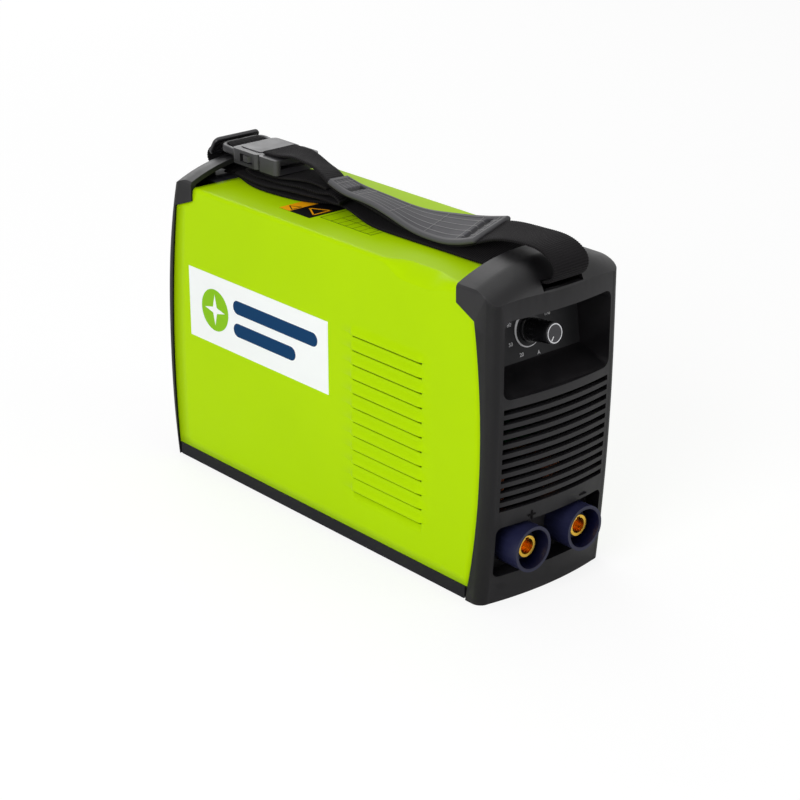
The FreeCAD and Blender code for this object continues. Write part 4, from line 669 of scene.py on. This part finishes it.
def make_band(name, edges, node):
    """Ribbed webbing between two edge curves.

    Its thickness and half width swell once every weft rib, as half of one plus a cosine."""
    count = evened(edges)
    centre, side, normal, half, along = band_frame(edges, count)
    wave = 0.5 + 0.5 * np.cos(2 * math.pi * along / RIB)
    tall = (WEB / 2 - THREAD_DEPTH + THREAD_DEPTH * wave)[:, None]
    wide = (half - WEB / 2 - THREAD_REACH + THREAD_REACH * wave)[:, None]
    across, edge, height = stadium(9, 3)
    sway = across[None, :] * wide + edge[None, :] * tall
    lift = height[None, :] * tall
    points = centre[:, None] + side[:, None] * sway[..., None] + normal[:, None] * lift[..., None]
    rings = points.shape[:2]
    uv = np.stack([np.broadcast_to(along[:, None], rings), sway], axis=-1).reshape(-1, 2) * MM
    uv = np.concatenate([uv, [[0, 0], [along[-1] * MM, 0]]])
    points, faces = capped(points.reshape(-1, 3), grid_quads(*rings, closed=True), rings)
    made = piece(name, points, outward(points, faces), WEBBING)
    put_uv(made.data, uv)
    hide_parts(node)


def across(half, rows):
    """Edge rows that many millimetres either side of the middle, from (left y, z, right y, z) rows."""
    return [(-half, *row[:2], half, *row[2:]) for row in rows]


def level(rows):
    """Edge rows whose two edges share one y, from (y, left x, left z, right x, right z) rows."""
    return [(row[1], row[0], row[2], row[3], row[0], row[4]) for row in rows]


# A row holds x, y, z of the left edge and then of the right edge. This run goes from the plug over the
# hump, under the pad, round the front bezel's head into its slot and back along the cover.
GRIP_LINE = [
    *level([
        (87.4, -12.4, 197.6, 12.4, 197.6), (79.8, -12.4, 197.7, 12.4, 197.6)]),
    (-12.3, 71.6, 198.7, 12.4, 72.6, 197.6),
    (-12.2, 63.0, 200.1, 12.4, 66.4, 196.4),
    (-12.2, 54.0, 200.2, 12.4, 59.5, 194.0),
    (-12.4, 44.0, 199.4, 12.4, 53.0, 191.8),
    (-12.6, 34.5, 196.0, 12.4, 46.5, 189.8),
    (-12.5, 25.0, 190.8, 12.2, 39.5, 185.6),
    *across(WEB_HALF, [
        (12.0, 188.8, 27.0, 181.9), (-10.0, 186.2, 0.0, 180.9), (-34.0, 181.8, -26.0, 180.6),
        (-56.0, 179.9, -50.0, 183.6), (-74.0, 180.4, -69.0, 187.4), (-88.0, 184.2, -85.0, 191.6),
        (-98.0, 188.4, -96.5, 194.4), (-110.0, 192.6, -109.0, 195.8), (-124.0, 194.9, -123.5, 196.4),
        (-138.5, 195.0, -138.0, 196.3), (-147.6, 192.0, -147.6, 193.2),
        (-152.0, 187.4, -152.2, 188.2), (-151.4, 182.6, -151.6, 182.9),
        (-147.4, 179.0, -147.4, 179.1)]),
    *level([
        (-141.0, -12.5, 177.95, 12.5, 177.95), (-127.0, -13.2, 178.0, 11.7, 180.2),
        (-112.0, -14.4, 178.0, 9.7, 184.8), (-97.0, -15.3, 178.0, 8.6, 186.8),
        (-83.0, -15.6, 178.0, 8.8, 184.6), (-68.0, -15.8, 178.0, 9.1, 180.6),
        (-50.0, -16.4, 178.0, 8.6, 178.0), (-34.0, -16.9, 178.0, 8.1, 178.0),
        (-12.0, -15.8, 178.0, 9.0, 178.0), (8.0, -11.0, 179.2, 13.6, 178.0),
        (27.0, -8.5, 179.6, 16.0, 178.0), (45.0, -14.0, 178.1, 11.0, 178.0),
        (64.0, -18.2, 178.0, 6.8, 178.0), (84.0, -19.4, 178.0, 5.6, 178.0),
        (98.0, -17.0, 178.0, 8.0, 178.0), (114.0, -12.5, 178.0, 12.5, 178.0),
        (126.0, -12.5, 178.0, 12.5, 178.0)]),
]

# The spare webbing, folded to and fro between the cover and the buckle.
SLACK_LINE = [
    *level([
        (112.0, -14.5, 180.4, 10.5, 180.4), (96.0, -17.0, 180.2, 8.0, 180.2),
        (80.0, -18.0, 180.3, 7.0, 180.3), (62.0, -16.6, 181.4, 8.4, 180.9)]),
    (-14.8, 44.0, 181.9, 10.0, 46.0, 181.4),
    (-13.6, 26.0, 182.2, 11.2, 34.0, 181.4),
    (-13.2, 17.4, 183.2, 11.4, 27.4, 182.4),
    (-13.2, 19.6, 185.0, 11.4, 29.6, 184.2),
    (-13.6, 34.0, 185.2, 11.0, 42.0, 184.2),
    (-14.2, 50.0, 184.9, 10.4, 54.0, 184.3),
    (-14.8, 68.0, 183.4, 10.0, 69.0, 183.4),
    *level([
        (86.0, -14.6, 182.7, 10.2, 182.7), (99.0, -14.2, 183.0, 10.6, 183.0),
        (102.6, -13.8, 184.4, 11.0, 184.4), (98.0, -13.6, 185.8, 11.2, 185.8),
        (84.0, -13.4, 185.4, 11.4, 185.4)]),
    (-13.2, 68.0, 186.4, 11.4, 69.0, 186.2),
    (-12.8, 52.0, 188.8, 11.6, 56.0, 187.2),
    (-12.6, 38.0, 189.4, 11.8, 47.0, 187.4),
    (-12.4, 30.0, 188.6, 11.8, 40.0, 186.6),
]

# From the buckle's frame over the slider and round into the rear bezel's slot, as y and z.
REAR_LOOP = across(WEB_HALF, [(*place, *place) for place in (
    (108.0, 192.1), (114.0, 193.4), (121.0, 195.6), (126.5, 195.2), (132.0, 193.0), (138.0, 190.4),
    (142.0, 186.4), (141.8, 182.2), (137.6, 179.8), (128.0, 179.75), (118.0, 179.75))])

PAD_HALF = 15.0
PAD_LINE = [
    (-13.4, 26.5, 193.8, 13.4, 41.8, 187.4),
    (-14.2, 18.0, 192.0, 14.6, 34.0, 185.2),
    *across(PAD_HALF, [
        (7.5, 190.8, 23.5, 184.0), (-3.0, 190.5, 10.0, 183.4), (-15.0, 189.4, -3.0, 182.8),
        (-27.0, 187.0, -15.0, 182.5), (-38.0, 184.2, -28.0, 183.2), (-49.0, 182.2, -41.0, 185.0),
        (-60.0, 181.6, -53.0, 187.0), (-72.0, 182.2, -67.0, 189.4), (-84.0, 184.8, -80.0, 192.0),
        (-94.5, 188.4, -91.9, 194.8)]),
]
PAD_THICK = 2.6
PAD_LINES = (-0.6, -0.2, 0.2, 0.6)
PAD_BARS = (0.045, 0.2, 0.42, 0.66, 0.87, 0.965)
PAD_SLOTS = (0.125, 0.915)
RIM_WIDTH = 1.7
RIM_HEIGHT = 0.42
END_RIM = 2.0
LINE_WIDTH = 0.5
LINE_HEIGHT = 0.3
SLOT_WIDTH = 3.6
SLOT_DEPTH = 1.75
WALL = 0.5
PAD_STATIONS = 560


def make_pad():
    """The grip pad: a band between two edge curves with a raised rim, raised thin lines and two slots.

    Each line is a narrow bell of the distance to it, and a slot is a steep-walled pocket with the ribs
    of the webbing at its bottom."""
    centre, side, normal, half, along = band_frame(PAD_LINE, PAD_STATIONS)
    length = along[-1]
    across, edge, height = stadium(150, 7)
    tall = PAD_THICK / 2
    wide = (half - tall)[:, None]
    sway = across[None, :] * wide + edge[None, :] * tall
    share = (along / length)[:, None]
    top = np.broadcast_to((height > 0.99)[None, :], sway.shape)

    def bell(distance, width):
        """One on the line, nothing past width, in millimetres."""
        return 1 - smooth((np.abs(distance) - 0.35 * width) / (0.65 * width))

    inner = wide - RIM_WIDTH
    lengthways = np.max([bell(sway - line * wide, LINE_WIDTH) for line in PAD_LINES], axis=0)
    crossways = np.max([bell((share - bar) * length, LINE_WIDTH) for bar in PAD_BARS], axis=0)
    ends = np.minimum(share, 1 - share) * length
    rim = 1 - smooth(np.minimum(wide - np.abs(sway) - RIM_WIDTH, ends - END_RIM) / WALL)
    slit = np.max([bell((share - slot) * length, SLOT_WIDTH) for slot in PAD_SLOTS], axis=0)
    slit = slit * (1 - smooth((np.abs(sway) - (inner - 1.6)) / WALL)) * top
    lines = np.maximum(np.maximum(lengthways, crossways) * (np.abs(sway) < inner), rim) * (1 - slit)
    ribs = 0.5 + 0.5 * np.cos(2 * math.pi * along / RIB)[:, None]
    crossed = np.maximum(lengthways, crossways)
    raised = top * (LINE_HEIGHT * crossed * (1 - rim) + RIM_HEIGHT * rim) * (1 - slit)
    sunk = slit * (SLOT_DEPTH - 0.2 * ribs)
    lift = height[None, :] * tall + raised - sunk
    points = centre[:, None] + side[:, None] * sway[..., None] + normal[:, None] * lift[..., None]
    rings = points.shape[:2]
    points, faces = capped(points.reshape(-1, 3), grid_quads(*rings, closed=True), rings)
    pad = piece("grip_pad", points, outward(points, faces), RUBBER)
    tint = (lines - 0.62 * rim) * top + (1 - top) * 0.22
    put_attribute(pad.data, "line", np.concatenate([tint.ravel(), [0.3, 0.3]]))
    put_attribute(pad.data, "slit", np.concatenate([slit.ravel(), [0, 0]]))
    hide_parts("strap_pad")


# ---------------------------------------------------------------- prints

INK = 0.06
SUNK = 0.02


def plates(name, outlines, origin, right, up, material, thick=INK, body="housing"):
    """Thin closed plates from outlines of (right, up) pairs in millimetres on a plane.

    Each one starts a little under the plane, so no gap shows, and stands thick above it."""
    origin, right, up = (np.array(value, float) for value in (origin, right, up))
    out = np.cross(right, up)
    points, faces = [], []
    for outline in outlines:
        flat = np.array(outline, float)
        low = origin + flat[:, :1] * right + flat[:, 1:] * up - SUNK * out
        start, size = len(points), len(flat)
        points += low.tolist() + (low + (thick + SUNK) * out).tolist()
        faces.append([start + size - 1 - i for i in range(size)])
        faces.append([start + size + i for i in range(size)])
        faces += [[start + i, start + (i + 1) % size, start + size + (i + 1) % size, start + size + i]
                  for i in range(size)]
    return piece(name, points, faces, material, body, soft=False)


def box_outline(low_x, low_y, high_x, high_y):
    return [(low_x, low_y), (high_x, low_y), (high_x, high_y), (low_x, high_y)]


def disc_outline(x, y, radius, count=40):
    turn = np.linspace(0, 2 * math.pi, count, endpoint=False)
    return np.stack([x + radius * np.cos(turn), y + radius * np.sin(turn)], axis=-1)


def rounded_box(x, y, wide, tall, radius):
    """A rectangle about a middle with its corners rounded."""
    turn = np.linspace(0, math.pi / 2, 7)
    centres = ((1, 1), (-1, 1), (-1, -1), (1, -1))
    parts = [np.stack([x + sx * (wide / 2 - radius) + radius * np.cos(turn + quarter * math.pi / 2),
                       y + sy * (tall / 2 - radius) + radius * np.sin(turn + quarter * math.pi / 2)], axis=-1)
             for quarter, (sx, sy) in enumerate(centres)]
    return np.concatenate(parts)


def arc_band(inner, outer, start, stop, count=40):
    """A curved bar between two radii given as (start, stop) values, over degrees start to stop."""
    turn = np.radians(np.linspace(start, stop, count))
    near = np.linspace(*inner, count)
    far = np.linspace(*outer, count)
    return np.concatenate([np.stack([far * np.cos(turn), far * np.sin(turn)], axis=-1),
                           np.stack([near * np.cos(turn), near * np.sin(turn)], axis=-1)[::-1]])


def make_side_print():
    """A generic label: a four-pointed spark on a green disc, and plain dark-blue bars."""
    low, high = corners("side_label")
    middle = (low[2] + high[2]) / 2
    origin = (low[0], high[1], middle)
    right, up = (0, -1, 0), (0, 0, 1)
    plates("label_green_disc", [disc_outline(25.0, 0, 13.0, 64)], origin, right, up, GREEN_INK)
    turn = np.linspace(0, 2 * math.pi, 8, endpoint=False)
    radius = np.where(np.arange(8) % 2 == 0, 9.6, 2.6)
    spark = np.stack([25.0 + radius * np.cos(turn), radius * np.sin(turn)], axis=-1)
    plates("label_spark", [spark], origin, right, up, WHITE_FILM, 0.1)
    bars = [rounded_box(82.0, 7.6, 78.0, 8.4, 4.2), rounded_box(72.0, -6.6, 58.0, 8.4, 4.2)]
    plates("label_blue_bars", bars, origin, right, up, BLUE_INK)


def ring_of_lines(points, width):
    """Straight bars of a width along each side of a closed outline."""
    points = np.array(points, float)
    following = np.roll(points, -1, axis=0)
    along = unit(following - points)
    side = np.stack([-along[:, 1], along[:, 0]], axis=-1) * width / 2
    reach = along * width / 2
    return [[tuple(a - r - s), tuple(b + r - s), tuple(b + r + s), tuple(a - r + s)]
            for a, b, s, r in zip(points, following, side, reach)]


def make_top_prints():
    """The caution film's orange strip and blank triangles, and the rating film's empty black table."""
    right, up = (1, 0, 0), (0, 1, 0)
    low, high = corners("caution_label")
    long, deep = high[1] - low[1], high[0] - low[0]
    corner = (low[0], low[1], high[2])
    strip = [box_outline(0.0, long * 0.66, deep * 0.62, long)]
    plates("caution_orange", strip, corner, right, up, ORANGE_FILM)
    large = [(5.5, 3.0), (18.0, 3.0), (11.75, 14.0)]
    plates("caution_triangle", ring_of_lines(large, 1.0), corner, right, up, ORANGE_FILM)
    small = [(2.6, long * 0.7), (9.6, long * 0.7), (6.1, long * 0.7 + 6.4)]
    plates("caution_outline", ring_of_lines(small, 0.7), corner, right, up, BLACK_FILM, 0.1)

    low, high = corners("rating_label")
    corner = (low[0], low[1], high[2])
    wide, tall = high[0] - low[0] - 1.2, high[1] - low[1] - 1.2
    border = ring_of_lines([(0.6, 0.6), (wide, 0.6), (wide, tall), (0.6, tall)], 0.35)
    rules = [box_outline(0.6, height - 0.12, wide, height + 0.12) for height in np.linspace(4, tall - 9, 6)]
    posts = [box_outline(x - 0.12, 4.0, x + 0.12, tall - 9) for x in (9.0, 16.0, 24.0)]
    plates("rating_table", border + rules + posts, corner, right, up, BLACK_FILM)


def text_outline(name, words, size, origin, right, up):
    """Generic dial numbers, flat on a plane, centred on their origin."""
    curve = bpy.data.curves.new(name, "FONT")
    curve.body = words
    curve.size = size * MM
    curve.extrude = INK * MM / 2
    curve.align_x = "CENTER"
    curve.align_y = "CENTER"
    holder = bpy.data.objects.new(name + "_curve", curve)
    bpy.context.scene.collection.objects.link(holder)
    bpy.context.view_layer.update()
    mesh = bpy.data.meshes.new_from_object(holder.evaluated_get(bpy.context.evaluated_depsgraph_get()))
    bpy.data.objects.remove(holder)
    flat = np.zeros(len(mesh.vertices) * 3)
    mesh.vertices.foreach_get("co", flat)
    flat = flat.reshape(-1, 3) / MM
    right, up = np.array(right, float), np.array(up, float)
    out = np.cross(right, up)
    placed = np.array(origin) + flat[:, :1] * right + flat[:, 1:2] * up + (flat[:, 2:] + INK / 2) * out
    mesh.vertices.foreach_set("co", (placed * MM).ravel())
    mesh.update()
    return finished(name, mesh, WHITE_INK, soft=False)


def knob_plane():
    """Origin on the panel's face under the knob, its right, its up and its outward direction."""
    joint = next(joint for joint in frame["joints"] if joint["name"] == "knob_turn")
    outwards = -unit(np.array(joint["axis"], float))
    start = np.array(joint["pos_m"], float) / MM
    places = np.array([vertex.co for vertex in frame["nodes"]["control_panel"].data.vertices]) / MM
    level = ((places - start) @ outwards).max()
    right = np.array([1.0, 0, 0])
    return start + level * outwards, right, np.cross(outwards, right), outwards


def make_panel_print():
    """The scale round the knob: a white wedge that thins clockwise, small numbers and a unit letter."""
    origin, right, up, _ = knob_plane()
    wedge = arc_band((9.0, 9.5), (10.7, 9.8), 118, 300, 60)
    plates("dial_wedge", [wedge], origin, right, up, WHITE_INK)
    numbers = ((202, 15.0, "50"), (243, 14.5, "20"), (160, 15.0, "80"), (120, 14.0, "110"),
               (60, 14.0, "140"), (20, 15.0, "170"), (338, 15.0, "200"))
    for count, (angle, radius, words) in enumerate(numbers):
        turn = math.radians(angle)
        place = origin + right * radius * math.cos(turn) + up * radius * math.sin(turn)
        text_outline(f"dial_number_{count}", words, 3.0, place, right, up)
    text_outline("dial_unit", "A", 3.2, origin - up * 14.5 + right * 6.0, right, up)
    marks = [box_outline(-33.0, y, -29.6, y + 0.8) for y in (6.8, -1.6, -9.8)]
    plates("lamp_marks", marks, origin, right, up, WHITE_INK)


def make_knob_pointer():
    """A short white mark near the cap's edge, on the knob."""
    origin, right, up, outwards = knob_plane()
    places = np.array([vertex.co for vertex in frame["nodes"]["knob_cap"].data.vertices]) / MM
    reach = ((places - origin) @ outwards).max()
    turn = math.radians(232)
    along = right * math.cos(turn) + up * math.sin(turn)
    aside = np.cross(outwards, along)
    plates("knob_pointer", [box_outline(1.9, -0.32, 4.7, 0.32)], origin + reach * outwards, along, aside,
           WHITE_INK, 0.08, "knob")


def rounded_section(wide, tall, count):
    """Across and up places round a superellipse: the cosine and the sine, each to the power 0.6."""
    turn = np.linspace(0, 2 * math.pi, count, endpoint=False)
    across_it, up_it = np.cos(turn), np.sin(turn)
    return (np.sign(across_it) * np.abs(across_it) ** 0.6 * wide / 2,
            np.sign(up_it) * np.abs(up_it) ** 0.6 * tall / 2)


def swept_bar(name, path, wide, tall):
    """A buckle-plastic bar whose rounded section is carried along a level path."""
    centre = natural_curve(path, 90)
    forward = unit(np.gradient(centre, axis=0))
    side = unit(np.cross(forward, [0.0, 0, 1]))
    sway, lift = rounded_section(wide, tall, 24)
    points = centre[:, None] + side[:, None] * sway[None, :, None]
    points = points + np.array([0.0, 0, 1]) * lift[None, :, None]
    rings = points.shape[:2]
    points, faces = capped(points.reshape(-1, 3), grid_quads(*rings, closed=True), rings)
    piece(name, points, outward(points, faces), BUCKLE)


def ring_bar(name, centre, right, up, wide, tall, section):
    """A buckle-plastic ring: the rounded section carried round a rectangle with rounded corners.

    The section's two directions are the ring's outward direction and its axis."""
    right, up = np.array(right, float), np.array(up, float)
    axis = np.cross(right, up)
    loop = rounded_box(0, 0, wide, tall, 2.4)
    forward = unit(np.roll(loop, -1, axis=0) - np.roll(loop, 1, axis=0))
    outwards = forward[:, :1] * -up + forward[:, 1:] * right
    line = np.array(centre) + loop[:, :1] * right + loop[:, 1:] * up
    sway, lift = rounded_section(*section, 20)
    points = line[:, None] + outwards[:, None] * sway[None, :, None] + axis * lift[None, :, None]
    rows, columns = points.shape[:2]
    quads = grid_quads(rows + 1, columns, closed=True) % (rows * columns)
    points = points.reshape(-1, 3)
    piece(name, points, outward(points, quads.tolist()), BUCKLE)


def make_strap_slider():
    """The flat slider that the rear webbing is threaded through, leaning back over the rear bezel."""
    low, high = np.array([0, 135.1, 187.5]), np.array([0, 127.8, 198.4])
    lean = unit(high - low)
    middle = (low + high) / 2
    ring_bar("strap_slider", middle, (-1, 0, 0), lean, 31.4, 10.6, (2.6, 2.4))
    crossbar = [middle + np.array([x, 0, 0]) - 1.2 * lean for x in (-15.0, -5.0, 5.0, 15.0)]
    swept_bar("slider_crossbar", crossbar, 2.2, 2.0)
    plates("slider_plate", [rounded_box(0, 0, 30.0, 9.2, 2.0)], middle, (-1, 0, 0), lean, BUCKLE,
           0.8)


def make_shade_sheets():
    """Painted shade: a thin dark upright sheet inside each side of the cover, between the circuit board and
    the louvres, so the view in through the slits and the grille stays dark.
    """
    sheet = 0.4
    place = (corners("main_board")[1][0] + HALF - SHEET) / 2
    outline = rounded_box(0, 0, 200.0, 146.0, 4.0)
    for side, name in ((-1, "left_shade_sheet"), (1, "right_shade_sheet")):
        plates(name, [outline], (side * place, 0, 86.0), (0, side, 0), (0, 0, 1), COMPONENT,
               sheet)


def make_buckle_trim():
    """The open frame behind the buckle that the rear webbing loops round, and the raised panel on top."""
    low, high = corners("buckle_socket")
    arm = high[0] - 1.9
    height = (low[2] + high[2]) / 2 + 1.2
    rear = high[1]
    left_arm = [(-arm, rear - 1.0, height), (-arm, rear + 5.0, height + 0.4),
                (-arm + 0.7, rear + 9.6, height + 0.8), (-arm + 3.6, rear + 11.4, height + 1.0)]
    right_arm = [(-x, y, z) for x, y, z in left_arm[::-1]]
    path = [*left_arm, (0, rear + 11.6, height + 1.0), *right_arm]
    swept_bar("buckle_frame", path, 3.2, 4.4)
    outline = rounded_box(0, (low[1] + high[1]) / 2 + 0.2, 2 * high[0] - 9.0, high[1] - low[1] - 4.0, 3.0)
    panel = plates("buckle_panel", [outline], (0, 0, high[2]), (1, 0, 0), (0, 1, 0), BUCKLE,
                   0.5)
    softened(panel, 0.25, 2)


def make_socket_signs():
    """Raised plus and minus above the sockets."""
    reach, bar = 2.6, 0.45
    positive = corners("positive_socket_shell")
    negative = corners("negative_socket_shell")
    height = positive[1][2] + 5.0
    for name, box, upright in (("plus_sign", positive, True), ("minus_sign", negative, False)):
        middle = (box[0][0] + box[1][0]) / 2 + 3.0
        outlines = [box_outline(-reach, -bar, reach, bar)]
        if upright:
            outlines += [box_outline(-bar, bar, bar, reach), box_outline(-bar, -reach, bar, -bar)]
        plates(name, outlines, (middle, face_of_front(middle, height), height), (1, 0, 0), (0, 0, 1),
               BLACK_FILM, 0.5)


def face_of_front(x, z):
    """Where a ray along +Y first meets the front bezel, in millimetres."""
    hit, place, *_ = frame["nodes"]["front_bezel"].ray_cast((x * MM, (FRONT - 20) * MM, z * MM), (0, 1, 0))
    return place[1] / MM if hit else FRONT


# ---------------------------------------------------------------- stage

def wired(tree, *kinds):
    """Empties a node tree and adds one node of each kind."""
    tree.nodes.clear()
    return [tree.nodes.new("ShaderNode" + kind) for kind in kinds]


def make_floor():
    """A pale floor that keeps the shadow: for the camera it glows as well as it scatters."""
    bpy.ops.mesh.primitive_plane_add(size=30.0, location=(0, 0, -0.0002))
    floor = bpy.context.object
    floor.name = "studio_floor"
    paint = bpy.data.materials.new("studio_floor")
    paint.use_nodes = True
    tree = paint.node_tree
    diffuse, glow, path, share, mix, output = wired(tree, "BsdfDiffuse", "Emission", "LightPath", "Math",
                                                    "MixShader", "OutputMaterial")
    diffuse.inputs["Color"].default_value = (0.86, 0.86, 0.86, 1)
    glow.inputs["Strength"].default_value = 1.1
    share.operation = "MULTIPLY"
    share.inputs[1].default_value = 0.74
    tree.links.new(path.outputs["Is Camera Ray"], share.inputs[0])
    for target, source in enumerate((share, diffuse, glow)):
        tree.links.new(source.outputs[0], mix.inputs[target])
    tree.links.new(mix.outputs[0], output.inputs["Surface"])
    floor.data.materials.append(paint)


def make_world():
    """White where the camera, a reflection or a clear part sees it, and a softer light for the rest."""
    world = bpy.data.worlds.new("studio")
    bpy.context.scene.world = world
    world.use_nodes = True
    tree = world.node_tree
    seen, lit, path, first, second, mix, output = wired(tree, "Background", "Background", "LightPath",
                                                        "Math", "Math", "MixShader", "OutputWorld")
    for background, strength in ((seen, 1.0), (lit, 0.34)):
        background.inputs["Color"].default_value = (1, 1, 1, 1)
        background.inputs["Strength"].default_value = strength
    first.operation = second.operation = "MAXIMUM"
    tree.links.new(path.outputs["Is Camera Ray"], first.inputs[0])
    tree.links.new(path.outputs["Is Glossy Ray"], first.inputs[1])
    tree.links.new(first.outputs[0], second.inputs[0])
    tree.links.new(path.outputs["Is Transmission Ray"], second.inputs[1])
    for target, source in enumerate((second, lit, seen)):
        tree.links.new(source.outputs[0], mix.inputs[target])
    tree.links.new(mix.outputs[0], output.inputs["Surface"])


def lamp(name, place, target, size, power):
    """A square soft lamp aimed at a point, in metres and watts."""
    light = bpy.data.lights.new(name, "AREA")
    light.size = size
    light.energy = power
    holder = bpy.data.objects.new(name, light)
    bpy.context.scene.collection.objects.link(holder)
    holder.location = place
    aim = np.array(target) - np.array(place)
    flat = math.hypot(aim[0], aim[1])
    holder.rotation_euler = (math.atan2(flat, -aim[2]), 0, math.atan2(aim[1], aim[0]) - math.pi / 2)


def make_camera():
    """A long lens from the left of the front, a little above."""
    down, aside = 22.43, 41.31
    data = bpy.data.cameras.new("camera")
    data.lens = 95.34
    data.sensor_width = 36
    camera = bpy.data.objects.new("camera", data)
    bpy.context.scene.collection.objects.link(camera)
    camera.location = (-0.7432, -0.8654, 0.5360)
    camera.rotation_euler = (math.radians(90 - down), 0, math.radians(-aside))
    bpy.context.scene.camera = camera


# ---------------------------------------------------------------- the whole object

make_camera()
make_floor()
make_world()
lamp("key_lamp", (-1.9, -0.7, 1.1), (0, 0, 0.08), 1.3, 31)
lamp("top_lamp", (0.2, 0.3, 2.2), (0, 0, 0.1), 1.6, 8)
lamp("front_lamp", (0.9, -1.9, 0.9), (0, 0, 0.08), 1.0, 7)
lamp("rear_lamp", (0.8, 1.9, 1.2), (0, 0, 0.08), 1.2, 9)
dress_nodes()
make_cover()
make_band("strap_webbing", GRIP_LINE, "long_webbing")
make_band("folded_webbing", SLACK_LINE, "slack_webbing")
make_band("rear_loop_webbing", REAR_LOOP, "short_webbing")
make_pad()
make_side_print()
make_top_prints()
make_panel_print()
make_knob_pointer()
make_buckle_trim()
make_strap_slider()
# Painted shade: dark sheets behind the louvres.
make_shade_sheets()
make_socket_signs()
for node in ("buckle_socket", "buckle_plug", "buckle_left_prong", "buckle_right_prong"):
    softened(frame["nodes"][node], 0.6, 3)

bpy.context.scene.view_settings.view_transform = "Standard"
